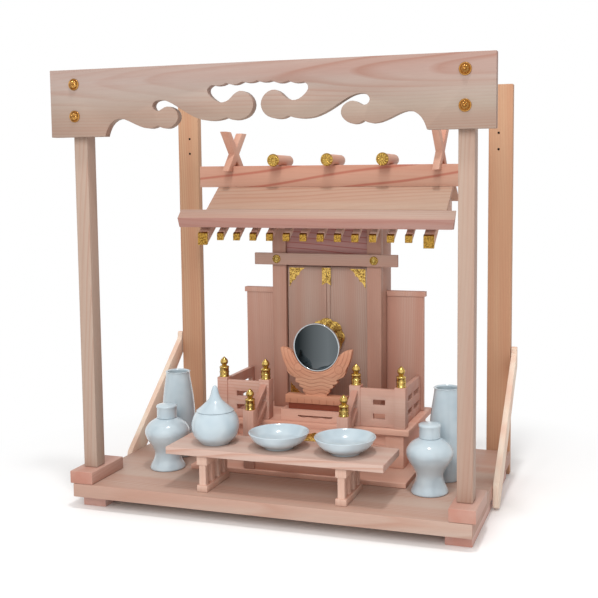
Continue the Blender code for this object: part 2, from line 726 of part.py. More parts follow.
def build_stair_rail(side, word):
    """The newel at the foot of the stair and the two handrails that climb from it."""
    centre_x = SHRINE_X + side * NEWEL_SPREAD
    rail = boxes("stair_rail", [newel_span(centre_x, LOWER_NEWEL_FRONT, PLINTH_BOTTOM, LOWER_NEWEL_HEIGHT)])
    start = LOWER_NEWEL_FRONT + NEWEL_SQUARE - 2 * MM
    end = NEWEL_FRONT - SEAT
    high = ON_VERANDA + NEWEL_HEIGHT - HANDRAIL_TOP_DROP
    span = (centre_x - HANDRAIL_WIDTH / 2, centre_x + HANDRAIL_WIDTH / 2)
    for drop in (0.0, HANDRAIL_SPACING):
        outline = [(start, high - drop - HANDRAIL_DROP), (end, high - drop),
                   (end, high - drop - HANDRAIL_HEIGHT),
                   (start, high - drop - HANDRAIL_DROP - HANDRAIL_HEIGHT)]
        boolean(rail, prism("handrail", outline, span, "X"), "UNION")
    cap = finial((centre_x, LOWER_NEWEL_CENTRE_Y, PLINTH_BOTTOM + LOWER_NEWEL_HEIGHT))
    wood(boolean(rail, cap, "UNION"), "stair_rail_" + word)


def build_screens():
    """The screens that close the veranda beside the body, each with a cap moulding."""
    top = ON_VERANDA + SCREEN_HEIGHT
    for side, word in ((-1, "left"), (1, "right")):
        near = BODY_HALF + SEAT
        panel = box("screen", mirrored_span(side, near, SCREEN_HALF, SHRINE_X),
                    (SCREEN_FRONT, SCREEN_FRONT + SCREEN_THICKNESS), (ON_VERANDA, top))
        cap = box("screen_cap", mirrored_span(side, near, SCREEN_HALF + SCREEN_CAP_LIP, SHRINE_X),
                  (SCREEN_FRONT - SCREEN_CAP_LIP, SCREEN_FRONT + SCREEN_THICKNESS + SCREEN_CAP_LIP),
                  (top - SEAT, top + SCREEN_CAP_HEIGHT))
        wood(boolean(panel, cap, "UNION"), "screen_" + word)


# Shrine body


def build_front_frame():
    """The pillars, sill and header in one frame, with the lintel beam across its face."""
    top = rafter_line(BODY_FRONT) - RAFTER_DEPTH - SEAT * 1.4
    depth = (BODY_FRONT, BODY_FRONT + PILLAR_DEPTH)
    frame = shrine_box("frame", BODY_HALF, depth, (BODY_BOTTOM, top))
    opening = shrine_box("opening", OPENING_HALF, (BODY_FRONT - PILLAR_DEPTH, BODY_FRONT + 2 * PILLAR_DEPTH),
                         (BODY_BOTTOM + SILL_HEIGHT, TRANSOM_TOP + SEAT))
    wood(boolean(frame, opening, "DIFFERENCE"), "front_frame")
    lintel_bottom = DOOR_TOP + LINTEL_ABOVE_DOOR
    lintel = shrine_box("lintel", LINTEL_HALF, (BODY_FRONT - SEAT - LINTEL_THICKNESS, BODY_FRONT - SEAT),
                        (lintel_bottom, lintel_bottom + LINTEL_HEIGHT))
    wood(chamfer(lintel), "lintel_beam")
    transom_front = BODY_FRONT + TRANSOM_RECESS
    transom = shrine_box("transom", OPENING_HALF - SEAT, (transom_front, transom_front + TRANSOM_THICKNESS),
                         (TRANSOM_BOTTOM, TRANSOM_TOP))
    wood(transom, "transom_board")


def build_body_shell():
    """The side walls, back wall and floor behind the frame, as one shell under the rafters."""
    front = BODY_FRONT + PILLAR_DEPTH + SEAT

    def under_rafters(depth):
        """Height of the wall tops at a depth."""
        return rafter_line(depth) - RAFTER_DEPTH - SEAT * 1.4

    outline = [(front, BODY_BOTTOM), (front, under_rafters(front)),
               (RIDGE_CENTRE, under_rafters(RIDGE_CENTRE)), (BODY_BACK, under_rafters(BODY_BACK)),
               (BODY_BACK, BODY_BOTTOM)]
    shell = prism("shell", outline, (SHRINE_X - BODY_HALF, SHRINE_X + BODY_HALF), "X")
    room = shrine_box("room", BODY_HALF - WALL_THICKNESS,
                      (front - WALL_THICKNESS, BODY_BACK - WALL_THICKNESS),
                      (BODY_BOTTOM + SILL_HEIGHT - 1 * MM, RIDGE_APEX))
    wood(boolean(shell, room, "DIFFERENCE"), "body_shell")


def build_door(side, word):
    """One door leaf, hung on an upright axis near its outer edge, with half of the meeting strip."""
    inner = DOOR_MEETING_GAP / 2
    outer = OPENING_HALF - DOOR_SIDE_GAP
    back = DOOR_FRONT + DOOR_THICKNESS
    strip_front = DOOR_FRONT - DOOR_STILE_PROUD
    strip_edge = inner + DOOR_STILE_WIDTH / 2
    outline = [(inner, strip_front), (strip_edge, strip_front), (strip_edge, DOOR_FRONT),
               (outer, DOOR_FRONT), (outer, back), (inner, back)]
    outline = [(side * (across - PIVOT_X), depth - PIVOT_Y - FRONT_Y) for across, depth in outline]
    leaf = prism("door", outline, (DOOR_BOTTOM, DOOR_TOP), "Z")
    leaf.location = (SHRINE_X + side * PIVOT_X, PIVOT_Y + FRONT_Y, 0.0)
    wood(leaf, "door_" + word)


# Roof


def build_rafters():
    """The rafters and the sheathing between them, cut from one roof-shaped block."""
    middle = SHRINE_X - RAFTER_SHIFT
    half = GABLE_RAFTER_X + GABLE_RAFTER_WIDTH / 2
    depths = (RAFTER_FRONT_TIP, RIDGE_CENTRE, ROOF_BACK_EDGE - 2 * MM)
    outline = [(depth, rafter_line(depth)) for depth in depths]
    outline += [(depth, rafter_line(depth) - GABLE_RAFTER_DEPTH) for depth in reversed(depths)]
    frame = prism("rafters", outline, (middle - half, middle + half), "X")
    reach = (RAFTER_FRONT_TIP - 10 * MM, RIDGE_CENTRE, ROOF_BACK_EDGE + 10 * MM)
    floor = rafter_line(reach[0]) - 3 * GABLE_RAFTER_DEPTH
    between = GABLE_RAFTER_X - GABLE_RAFTER_WIDTH / 2
    below = [(depth, rafter_line(depth) - RAFTER_DEPTH) for depth in reach]
    below += [(reach[-1], floor), (reach[0], floor)]
    boolean(frame, prism("below", below, (middle - between, middle + between), "X"), "DIFFERENCE")
    bay = [(reach[0], rafter_line(SHEATHING_FRONT) + RAFTER_DEPTH),
           (SHEATHING_FRONT, rafter_line(SHEATHING_FRONT) + RAFTER_DEPTH)]
    bay += [(depth, rafter_line(depth) - SHEATHING_DEPTH) for depth in (SHEATHING_FRONT, *reach[1:])]
    bay += [(reach[-1], floor), (reach[0], floor)]
    first = -(RAFTER_COUNT - 1) / 2 * RAFTER_PITCH
    edges = [-between]
    for index in range(RAFTER_COUNT):
        centre = first + index * RAFTER_PITCH
        edges += [centre - RAFTER_WIDTH / 2, centre + RAFTER_WIDTH / 2]
    edges.append(between)
    for start, end in zip(edges[::2], edges[1::2]):
        boolean(frame, prism("bay", bay, (middle + start, middle + end), "X"), "DIFFERENCE")
    wood(frame, "rafter_frame", WOOD_PINK)


def build_roof_boards():
    """The two sloping roof boards and the thick board along the eave."""
    left, right = SHRINE_X - ROOF_HALF, SHRINE_X + ROOF_HALF
    for name, start, end in (("roof_front", ROOF_FRONT_EDGE, RIDGE_CENTRE - SEAT / 2),
                             ("roof_rear", RIDGE_CENTRE + SEAT / 2, ROOF_BACK_EDGE)):
        outline = [(start, roof_line(start)), (end, roof_line(end)),
                   (end, roof_line(end) - ROOF_THICKNESS), (start, roof_line(start) - ROOF_THICKNESS)]
        wood(prism("roof", outline, (left, right), "X"), name)
    back = ROOF_FRONT_EDGE - SEAT
    bottom = EAVE_FACE_TOP - EAVE_FACE_HEIGHT
    knee = RIDGE_CENTRE - (RIDGE_APEX - ROOF_THICKNESS - bottom) / ROOF_SLOPE
    rear = EAVE_FRONT + EAVE_TOP_DEPTH
    lap = rear - EAVE_TOP_DEPTH / 2
    outline = [(EAVE_FRONT, bottom), (EAVE_FRONT, EAVE_FACE_TOP), (rear, EAVE_FACE_TOP + EAVE_TOP_RISE),
               (rear, bottom)]
    middle = SHRINE_X - RAFTER_SHIFT
    eave = prism("eave", outline, (middle - EAVE_HALF, middle + EAVE_HALF), "X")
    for vertex in eave.data.vertices:
        if vertex.co.z < EAVE_FACE_TOP - EAVE_FACE_HEIGHT / 2:
            vertex.co.x -= math.copysign(EAVE_END_SLANT, vertex.co.x - SHRINE_X)
    tongue = [(lap, bottom), (lap, EAVE_FACE_TOP), (back, roof_line(back)),
              (back, roof_line(back) - ROOF_THICKNESS), (knee, bottom)]
    wood(boolean(eave, prism("tongue", tongue, (left, right), "X"), "UNION"), "eave_board")


def build_ridge():
    """The ridge beam, hollowed below to lie on the roof boards."""
    half_depth = RIDGE_BEAM_DEPTH / 2
    depths = (RIDGE_CENTRE - half_depth, RIDGE_CENTRE + half_depth)
    bottom = roof_line(depths[0]) + SEAT * 1.3
    beam = shrine_box("ridge", RIDGE_BEAM_HALF, depths, (bottom, RIDGE_BEAM_TOP))
    wide = (depths[0] - half_depth, RIDGE_CENTRE, depths[1] + half_depth)
    notch = [(depth, roof_line(depth) + SEAT * 1.3) for depth in wide]
    notch += [(wide[2], bottom - RIDGE_BEAM_DEPTH), (wide[0], bottom - RIDGE_BEAM_DEPTH)]
    reach = ROOF_HALF + SEAT
    cutter = prism("notch", notch, (SHRINE_X - reach, SHRINE_X + reach), "X")
    wood(boolean(beam, cutter, "DIFFERENCE"), "ridge_beam", WOOD_PINK)


def build_roof_logs():
    """The three short round logs that lie across the ridge beam."""
    seat = RIDGE_BEAM_TOP + SEAT
    centre = Vector((0.0, RIDGE_CENTRE + FRONT_Y, seat + LOG_RADIUS - LOG_SEAT_FLAT))
    for offset, word in ((-1, "left"), (0, "middle"), (1, "right")):
        builder = bmesh.new()
        made = bmesh.ops.create_cone(builder, cap_ends=True, segments=ROUND_STEPS, radius1=LOG_RADIUS,
                                     radius2=LOG_RADIUS, depth=LOG_LENGTH)
        middle = centre + Vector((SHRINE_X + offset * LOG_SPACING, 0.0, 0.0))
        for vertex in made["verts"]:
            lying = Vector((vertex.co.x, -vertex.co.z, vertex.co.y)) + middle
            lying.z = max(lying.z, seat)
            vertex.co = lying
        wood(mesh_object("log", builder), "roof_log_" + word)


def build_chigi(side, word):
    """One pair of crossed boards that straddles the ridge beam, as a single piece."""
    spread = CHIGI_TIP_SPREAD / (CHIGI_TOP - CHIGI_CROSSING)
    half = CHIGI_WIDTH / 2 * math.sqrt(1 + spread * spread)
    foot = RIDGE_BEAM_TOP - CHIGI_LEG_DROP
    tip = CHIGI_TIP_SPREAD
    leg = spread * (CHIGI_CROSSING - foot)
    arm = half / spread
    right = [(tip - half, CHIGI_TOP), (tip + half, CHIGI_TOP), (half, CHIGI_CROSSING),
             (leg + half, foot), (leg - half, foot)]
    left = [(-across, up) for across, up in reversed(right)]
    outline = [(0.0, CHIGI_CROSSING + arm), *right, (0.0, CHIGI_CROSSING - arm), *left]
    outline = [(RIDGE_CENTRE + across, up) for across, up in outline]
    middle = SHRINE_X + side * CHIGI_X
    crossed = prism("chigi", outline, (middle - CHIGI_THICKNESS / 2, middle + CHIGI_THICKNESS / 2), "X")
    clear = RIDGE_BEAM_DEPTH / 2 + SEAT
    beam = box("beam_space", (middle - CHIGI_THICKNESS, middle + CHIGI_THICKNESS),
               (RIDGE_CENTRE - clear, RIDGE_CENTRE + clear),
               (foot - CHIGI_LEG_DROP, RIDGE_BEAM_TOP + SEAT))
    wood(boolean(crossed, beam, "DIFFERENCE"), "chigi_" + word)


# Mirror and its stand

# Half outline of the carved board, in millimetres: across from the middle, up from the base
STAND_HALF = ((15.2, -2), (16, 2.2), (18.6, 4.2), (20, 7.5), (18.6, 9.3), (23.4, 10.9), (25.3, 14.1),
              (23.8, 16), (29.4, 16.9), (30.8, 19.7), (29.6, 22.4), (33.6, 24.9), (38.8, 27.4), (42.4, 32.4),
              (43.2, 37.6), (46, 43.2), (49, 50.3), (50.8, 57.8), (51.8, 63), (51.2, 65.2), (46.2, 64.9),
              (40.6, 62.8), (35.8, 59.2))
STAND_BEND_START = -21


def build_mirror():
    """The step, the carved stand and the round mirror that rests in its crescent."""
    depth = (MIRROR_STEP_FRONT, MIRROR_STEP_FRONT + MIRROR_STEP_DEPTH)
    step_top = ON_VERANDA + MIRROR_STEP_HEIGHT
    arch = [(MIRROR_STEP_ARCH_HALF, 0.0), (MIRROR_STEP_ARCH_HALF * 0.92, MIRROR_STEP_ARCH_HEIGHT * 0.5),
            (MIRROR_STEP_ARCH_HALF * 0.72, MIRROR_STEP_ARCH_HEIGHT * 0.62),
            (MIRROR_STEP_ARCH_HALF * 0.45, MIRROR_STEP_ARCH_HEIGHT * 0.9), (0.0, MIRROR_STEP_ARCH_HEIGHT)]
    arch = smooth_run(arch, 3)
    whole = arch + [(-across, up) for across, up in reversed(arch[:-1])]
    outline = [(MIRROR_STEP_HALF, MIRROR_STEP_HEIGHT), (MIRROR_STEP_HALF, 0.0), *whole,
               (-MIRROR_STEP_HALF, 0.0), (-MIRROR_STEP_HALF, MIRROR_STEP_HEIGHT)]
    outline = [(across, up + ON_VERANDA) for across, up in outline]
    wood(board_from_outline("step", [outline], depth, MIRROR_X), "mirror_step")

    middle = sum(depth) / 2
    foot = step_top + SEAT
    belt = foot + MIRROR_BASE_FOOT_HEIGHT
    top = foot + MIRROR_BASE_HEIGHT
    base = box("base", (MIRROR_X - MIRROR_BASE_HALF, MIRROR_X + MIRROR_BASE_HALF),
               (middle - MIRROR_BASE_DEPTH / 2, middle + MIRROR_BASE_DEPTH / 2), (belt, top))
    inner = MIRROR_BASE_HALF - MIRROR_BASE_FOOT_INSET
    neck_depth = MIRROR_BASE_DEPTH / 2 - MIRROR_BASE_FOOT_INSET / 2
    neck = box("neck", (MIRROR_X - inner, MIRROR_X + inner), (middle - neck_depth, middle + neck_depth),
               (foot, belt + 2 * MM))
    boolean(base, neck, "UNION")
    right = smooth_run([(across * MM, up * MM) for across, up in STAND_HALF], 2)
    hold = MIRROR_RADIUS + MIRROR_GAP
    bend = [(hold * math.cos(math.radians(angle)), MIRROR_ABOVE_BASE + hold * math.sin(math.radians(angle)))
            for angle in range(STAND_BEND_START, -90, -6)]
    right += bend
    left = [(-across, up) for across, up in reversed(right)]
    lowest = (0.0, MIRROR_ABOVE_BASE - hold)
    outline = [(across, up + top) for across, up in [*right, lowest, *left]]
    board = board_from_outline("carving", [outline],
                               (middle - MIRROR_STAND_THICKNESS / 2, middle + MIRROR_STAND_THICKNESS / 2),
                               MIRROR_X)
    boolean(base, to_mesh_object(board, "carving"), "UNION")
    wood(base, "mirror_stand", WOOD_PINK)

    disc = [(0.0, MIRROR_THICKNESS / 2), (MIRROR_RADIUS - 1 * MM, MIRROR_THICKNESS / 2),
            (MIRROR_RADIUS, MIRROR_THICKNESS / 2 - 1 * MM), (MIRROR_RADIUS, 1 * MM - MIRROR_THICKNESS / 2),
            (MIRROR_RADIUS - 1 * MM, -MIRROR_THICKNESS / 2), (0.0, -MIRROR_THICKNESS / 2)]
    mirror = turned("mirror", disc, (MIRROR_X, middle), top + MIRROR_ABOVE_BASE, WIDE_STEPS)
    mirror.rotation_euler = (math.pi / 2, 0.0, 0.0)
    finish(mirror, "mirror", SILVER, 0.15, 1.0)


# Offering table


def build_table():
    """The long top and the two leg frames, each with four legs between two rails."""
    top = box("top", (TABLE_X - TABLE_WIDTH / 2, TABLE_X + TABLE_WIDTH / 2),
              (TABLE_FRONT, TABLE_FRONT + TABLE_DEPTH), (TABLE_UNDERSIDE, TABLE_TOP))
    wood(chamfer(top), "table_top")
    ground = SHELF_TOP + SEAT
    upper = TABLE_UNDERSIDE - SEAT
    rail_back = TABLE_RAIL_FRONT + TABLE_RAIL_LENGTH
    inset = 1.5 * MM
    pitch = (TABLE_RAIL_LENGTH - 2 * inset - TABLE_LEG_DEPTH) / (TABLE_LEGS_PER_SIDE - 1)
    lap = 2 * MM
    for side, word in ((-1, "left"), (1, "right")):
        centre = SHRINE_X + side * TABLE_LEG_SPREAD
        rail_span = (centre - TABLE_RAIL_WIDTH / 2, centre + TABLE_RAIL_WIDTH / 2)
        rails = boxes("rails", [
            (rail_span, (TABLE_RAIL_FRONT, rail_back), (ground, ground + TABLE_GROUND_RAIL_HEIGHT)),
            (rail_span, (TABLE_RAIL_FRONT, rail_back), (upper - TABLE_TOP_RAIL_HEIGHT, upper))])
        legs = []
        for index in range(TABLE_LEGS_PER_SIDE):
            front = TABLE_RAIL_FRONT + inset + index * pitch
            legs.append(((centre - TABLE_LEG_WIDTH / 2, centre + TABLE_LEG_WIDTH / 2),
                         (front, front + TABLE_LEG_DEPTH),
                         (ground + TABLE_GROUND_RAIL_HEIGHT - lap, upper - TABLE_TOP_RAIL_HEIGHT + lap)))
        wood(boolean(rails, boxes("legs", legs), "UNION"), "table_legs_" + word, WOOD_PINK)


# Altar ware


def porcelain(item, name):
    """Finish an object as glazed white porcelain."""
    return finish(item, name, PORCELAIN, 0.12)


def build_dish(place_x, word):
    """A shallow open dish on a foot ring."""
    inner_floor = DISH_WALL + 2 * MM
    inside = smooth_run([(0.0, inner_floor), (DISH_FOOT_RADIUS * 0.7, inner_floor + 0.6 * MM),
                         (DISH_RADIUS * 0.72, DISH_HEIGHT * 0.48),
                         (DISH_RADIUS - DISH_WALL * 0.9, DISH_HEIGHT - 0.6 * MM)], CURVE_PIECES)
    outside = smooth_run([(DISH_RADIUS, DISH_HEIGHT - 0.8 * MM), (DISH_RADIUS * 0.86, DISH_HEIGHT * 0.52),
                          (DISH_RADIUS * 0.66, DISH_HEIGHT * 0.24),
                          (DISH_FOOT_RADIUS + 0.6 * MM, 2.4 * MM)], CURVE_PIECES)
    foot = [(DISH_FOOT_RADIUS, 0.0), (DISH_FOOT_RADIUS - 2 * MM, 0.0), (DISH_FOOT_RADIUS - 3 * MM, 1.2 * MM),
            (0.0, 1.2 * MM)]
    rim = [(DISH_RADIUS - DISH_WALL * 0.35, DISH_HEIGHT)]
    place = (place_x, DISH_DEPTH_PLACE)
    profile = inside + rim + outside + foot
    porcelain(turned("dish", profile, place, TABLE_TOP + SEAT, WIDE_STEPS), "dish_" + word)


def build_water_vessel():
    """The round water vessel and its pointed lid."""
    body = smooth_run([(WATER_MOUTH_RADIUS, WATER_BODY_HEIGHT),
                       (WATER_RADIUS * 0.93, WATER_BODY_HEIGHT * 0.82),
                       (WATER_RADIUS, WATER_BODY_HEIGHT * 0.55),
                       (WATER_RADIUS * 0.91, WATER_BODY_HEIGHT * 0.26),
                       (WATER_FOOT_RADIUS + 1.5 * MM, 2.2 * MM)], 3)
    profile = [(0.0, WATER_BODY_HEIGHT), *body, (WATER_FOOT_RADIUS, 0.0), (0.0, 0.0)]
    bottom = TABLE_TOP + SEAT
    porcelain(turned("water", profile, (WATER_X, WATER_DEPTH_PLACE), bottom), "water_vessel")
    tip = WATER_LID_HEIGHT
    lid = smooth_run([(0.0, tip), (2.4 * MM, tip - 1.6 * MM), (4.2 * MM, tip * 0.82), (5.4 * MM, tip * 0.64),
                      (9.0 * MM, tip * 0.43), (15.2 * MM, tip * 0.25), (20.8 * MM, tip * 0.1),
                      (WATER_MOUTH_RADIUS + 0.6 * MM, 0.8 * MM)], CURVE_PIECES)
    lid += [(WATER_MOUTH_RADIUS, 0.0), (0.0, 0.0)]
    seat = bottom + WATER_BODY_HEIGHT + LID_GAP
    porcelain(turned("lid", lid, (WATER_X, WATER_DEPTH_PLACE), seat), "water_lid")


def build_bottle(place_x, word):
    """A waisted sake bottle with its domed lid."""
    body = smooth_run([(BOTTLE_MOUTH_RADIUS, BOTTLE_BODY_HEIGHT), (BOTTLE_MOUTH_RADIUS + 2.4 * MM, 69 * MM),
                       (24.5 * MM, 62.5 * MM), (BOTTLE_RADIUS, 53 * MM), (27.6 * MM, 42.5 * MM),
                       (20.6 * MM, 31 * MM), (BOTTLE_WAIST_RADIUS, 23 * MM), (18.6 * MM, 14 * MM),
                       (22.6 * MM, 5.5 * MM), (BOTTLE_FOOT_RADIUS, 2 * MM)], CURVE_PIECES)
    profile = [(0.0, BOTTLE_BODY_HEIGHT), *body, (BOTTLE_FOOT_RADIUS, 0.0), (0.0, 0.0)]
    bottom = SHELF_TOP + SEAT
    place = (place_x, VASE_DEPTH_PLACE - BOTTLE_BEFORE_VASE)
    porcelain(turned("bottle", profile, place, bottom), "bottle_" + word)
    waist = BOTTLE_LID_RADIUS - 0.8 * MM
    lid = [(0.0, BOTTLE_LID_HEIGHT), (4 * MM, BOTTLE_LID_HEIGHT - 0.4 * MM),
           (BOTTLE_LID_RADIUS - 2 * MM, BOTTLE_LID_HEIGHT - 1.6 * MM),
           (BOTTLE_LID_RADIUS, BOTTLE_LID_HEIGHT - 3.2 * MM), (waist, BOTTLE_LID_HEIGHT - 6 * MM),
           (waist, 2 * MM), (waist + 0.4 * MM, 0.0), (0.0, 0.0)]
    porcelain(turned("lid", lid, place, bottom + BOTTLE_BODY_HEIGHT + LID_GAP), "bottle_lid_" + word)


def build_vase(place_x, word):
    """A tall open vase."""
    outer = [(VASE_RIM_RADIUS, VASE_HEIGHT - 1 * MM), (VASE_RIM_RADIUS - 0.9 * MM, VASE_HEIGHT * 0.955),
             (VASE_RADIUS * 0.9, VASE_HEIGHT * 0.68), (VASE_RADIUS, VASE_HEIGHT * 0.37),
             (VASE_RADIUS * 0.88, VASE_HEIGHT * 0.14), (VASE_FOOT_RADIUS, 1.2 * MM)]
    inner = [(0.0, 6 * MM), (VASE_FOOT_RADIUS - 2 * VASE_WALL, 8 * MM),
             (VASE_RADIUS - VASE_WALL, VASE_HEIGHT * 0.37),
             (VASE_RADIUS * 0.9 - VASE_WALL, VASE_HEIGHT * 0.68),
             (VASE_RIM_RADIUS - 0.9 * MM - VASE_WALL, VASE_HEIGHT * 0.955),
             (VASE_RIM_RADIUS - VASE_WALL, VASE_HEIGHT - 0.8 * MM)]
    rim = [(VASE_RIM_RADIUS - VASE_WALL / 2, VASE_HEIGHT)]
    foot = [(VASE_FOOT_RADIUS - 1 * MM, 0.0), (0.0, 0.0)]
    profile = smooth_run(inner, CURVE_PIECES) + rim + smooth_run(outer, CURVE_PIECES) + foot
    vase = turned("vase", profile, (place_x, VASE_DEPTH_PLACE), SHELF_TOP + SEAT)
    porcelain(vase, "vase_" + word)


def main():
    """Build every piece of the kamidana."""
    build_shelf()
    build_posts()
    build_valance()
    build_uprights()
    build_platform()
    build_stair()
    for side, word in ((-1, "left"), (1, "right")):
        build_railing(side, word)
        build_stair_rail(side, word)
        build_door(side, word)
        build_chigi(side, word)
    build_screens()
    build_front_frame()
    build_body_shell()
    build_rafters()
    build_roof_boards()
    build_ridge()
    build_roof_logs()
    build_mirror()
    build_table()
    build_dish(DISH_LEFT_X, "left")
    build_dish(DISH_RIGHT_X, "right")
    build_water_vessel()
    build_bottle(BOTTLE_LEFT_X, "left")
    build_bottle(BOTTLE_RIGHT_X, "right")
    build_vase(VASE_LEFT_X, "left")
    build_vase(VASE_RIGHT_X, "right")


main()
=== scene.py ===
"""Dresses the kamidana: planed cypress, gilt fittings, white porcelain, a dark mirror, and the studio."""

import json
import logging
import math
import random
from dataclasses import dataclass, field
from enum import Enum
from typing import Iterable, Optional, Sequence, Union

import bmesh
import bpy
from mathutils import Euler, Matrix, Vector

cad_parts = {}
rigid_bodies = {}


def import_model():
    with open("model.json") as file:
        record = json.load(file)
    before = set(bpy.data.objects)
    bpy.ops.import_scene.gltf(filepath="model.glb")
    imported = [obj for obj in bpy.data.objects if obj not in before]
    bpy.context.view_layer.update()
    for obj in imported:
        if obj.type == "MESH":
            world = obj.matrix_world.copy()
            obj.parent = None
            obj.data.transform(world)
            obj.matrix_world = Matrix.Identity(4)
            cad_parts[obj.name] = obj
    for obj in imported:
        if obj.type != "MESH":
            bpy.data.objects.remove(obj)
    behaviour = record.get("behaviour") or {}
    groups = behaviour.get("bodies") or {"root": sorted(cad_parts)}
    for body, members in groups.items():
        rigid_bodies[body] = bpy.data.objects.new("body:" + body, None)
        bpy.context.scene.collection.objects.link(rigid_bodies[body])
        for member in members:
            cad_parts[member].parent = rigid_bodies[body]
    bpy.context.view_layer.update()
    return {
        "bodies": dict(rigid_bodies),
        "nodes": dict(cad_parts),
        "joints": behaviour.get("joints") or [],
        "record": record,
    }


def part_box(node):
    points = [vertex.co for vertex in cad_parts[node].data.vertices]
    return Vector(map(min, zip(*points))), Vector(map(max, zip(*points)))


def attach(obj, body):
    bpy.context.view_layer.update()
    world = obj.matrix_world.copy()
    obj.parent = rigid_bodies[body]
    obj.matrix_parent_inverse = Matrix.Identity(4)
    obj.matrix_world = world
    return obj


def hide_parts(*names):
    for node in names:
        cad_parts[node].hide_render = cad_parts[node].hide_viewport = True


Point = tuple[float, float]
Colour = tuple[float, float, float, float]
Shape = bmesh.types.BMesh
Tree = bpy.types.NodeTree
Socket = bpy.types.NodeSocket
Material = bpy.types.Material
Feed = Union[Socket, float, Sequence[float]]

LOG = logging.getLogger("kamidana")
MM = 0.001
WHITE = (1.0, 1.0, 1.0, 1.0)
TO_FRONT = Matrix.Rotation(math.pi / 2, 4, "X")
SMOOTH_BELOW = math.radians(38)
RIM_DEPTH = 0.45
WAVE_PERIOD = math.tau / 20
SIDES = ((-1, "left"), (1, "right"))
NEWEL = 15.0 * MM
CAP_HEIGHT = 28.8 * MM


# Small tools


def linear(code: str) -> Colour:
    """Turn an sRGB hex value into a linear colour.

    Args:
        code: The colour as six hex digits.

    Returns:
        The linear red, green and blue, with an alpha of 1.
    """
    parts = []
    for start in (0, 2, 4):
        value = int(code[start:start + 2], 16) / 255
        parts.append(value / 12.92 if value <= 0.04045 else ((value + 0.055) / 1.055) ** 2.4)
    return (parts[0], parts[1], parts[2], 1.0)


def fill(tree: Tree, node: bpy.types.Node, inputs: dict) -> None:
    """Set a node's inputs to values, or link them.

    Args:
        tree: The node's tree.
        node: The node.
        inputs: Input name or index to a value, or to the socket that feeds it.
    """
    for key, value in inputs.items():
        if isinstance(value, Socket):
            tree.links.new(value, node.inputs[key])
        else:
            node.inputs[key].default_value = value


def add_node(tree: Tree, kind: str, inputs: Optional[dict] = None, **settings: object) -> bpy.types.Node:
    """Add a node, set its properties, and fill its inputs.

    Args:
        tree: The node tree that gets the node.
        kind: The node's type name after ShaderNode.
        inputs: Input name or index to a value, or to the socket that feeds it.
        settings: Properties of the node itself.

    Returns:
        The new node.
    """
    node = tree.nodes.new("ShaderNode" + kind)
    for key, value in settings.items():
        setattr(node, key, value)
    fill(tree, node, inputs or {})
    return node


def add_ramp(tree: Tree, feed: Socket, stops: Sequence[Point]) -> Socket:
    """Add a grey ramp.

    Args:
        tree: The node tree that gets the ramp.
        feed: The socket that drives it.
        stops: Position and grey value of each stop.

    Returns:
        The ramp's output.
    """
    node = add_node(tree, "ValToRGB", {"Fac": feed})
    for index, (place, grey) in enumerate(stops):
        stop = node.color_ramp.elements[index] if index < 2 else node.color_ramp.elements.new(place)
        stop.position = place
        stop.color = (grey, grey, grey, 1.0)
    return node.outputs["Color"]


def add_math(tree: Tree, operation: str, *values: Feed) -> Socket:
    """Add a maths node on numbers or sockets and return its value."""
    return add_node(tree, "Math", dict(enumerate(values)), operation=operation).outputs[0]


def add_measure(tree: Tree, operation: str, *vectors: Feed) -> Socket:
    """Add a vector maths node that gives a number, such as a distance, and return it."""
    return add_node(tree, "VectorMath", dict(enumerate(vectors)), operation=operation).outputs["Value"]


def add_mix(tree: Tree, factor: Feed, first: Feed, second: Feed, blend: str = "MIX") -> Socket:
    """Add a mix of two colours, the factor being the second one's share, and return it."""
    return add_node(tree, "Mix", {0: factor, 6: first, 7: second}, data_type="RGBA",
                    blend_type=blend).outputs[2]


def add_noise(tree: Tree, coords: Socket, scale: float, detail: float, **more: float) -> Socket:
    """Add a noise texture whose scale is its features a metre, and return its grey value."""
    inputs = {"Vector": coords, "Scale": scale, "Detail": detail, **more}
    return add_node(tree, "TexNoise", inputs).outputs["Fac"]


def add_bump(tree: Tree, height: Socket, strength: float, depth_mm: float) -> Socket:
    """Add a bump of a real depth and return its normal."""
    inputs = {"Height": height, "Strength": strength, "Distance": depth_mm * MM}
    return add_node(tree, "Bump", inputs).outputs[0]


def object_coords(tree: Tree) -> Socket:
    """Add coordinates in metres that stay with the piece, and return them."""
    return add_node(tree, "TexCoord").outputs["Object"]


def new_material(name: str) -> tuple[Material, Tree, bpy.types.Node]:
    """Make a node material.

    Args:
        name: The material's name.

    Returns:
        The material, its tree and its Principled node.
    """
    material = bpy.data.materials.new(name)
    material.use_nodes = True
    return material, material.node_tree, material.node_tree.nodes["Principled BSDF"]


def section(radius: float, shares: Sequence[Point]) -> list[Point]:
    """A profile from shares of a radius and heights in mm."""
    return [(radius * share, height * MM) for share, height in shares]


def smooth_run(points: Sequence[Point], pieces: int) -> list[Point]:
    """Refine a profile with a Catmull-Rom curve.

    Args:
        points: The profile's points.
        pieces: Steps between two of them.

    Returns:
        The finer profile, with the same ends.
    """
    run: list[Point] = []
    last = len(points) - 1
    for index in range(last):
        before, start = points[max(index - 1, 0)], points[index]
        end, after = points[index + 1], points[min(index + 2, last)]
        for piece in range(pieces):
            t = piece / pieces
            run.append(tuple(0.5 * (2 * b + (c - a) * t + (2 * a - 5 * b + 4 * c - d) * t * t
                                    + (3 * b - a - 3 * c + d) * t ** 3)
                             for a, b, c, d in zip(before, start, end, after)))
    run.append(tuple(points[-1]))
    return run


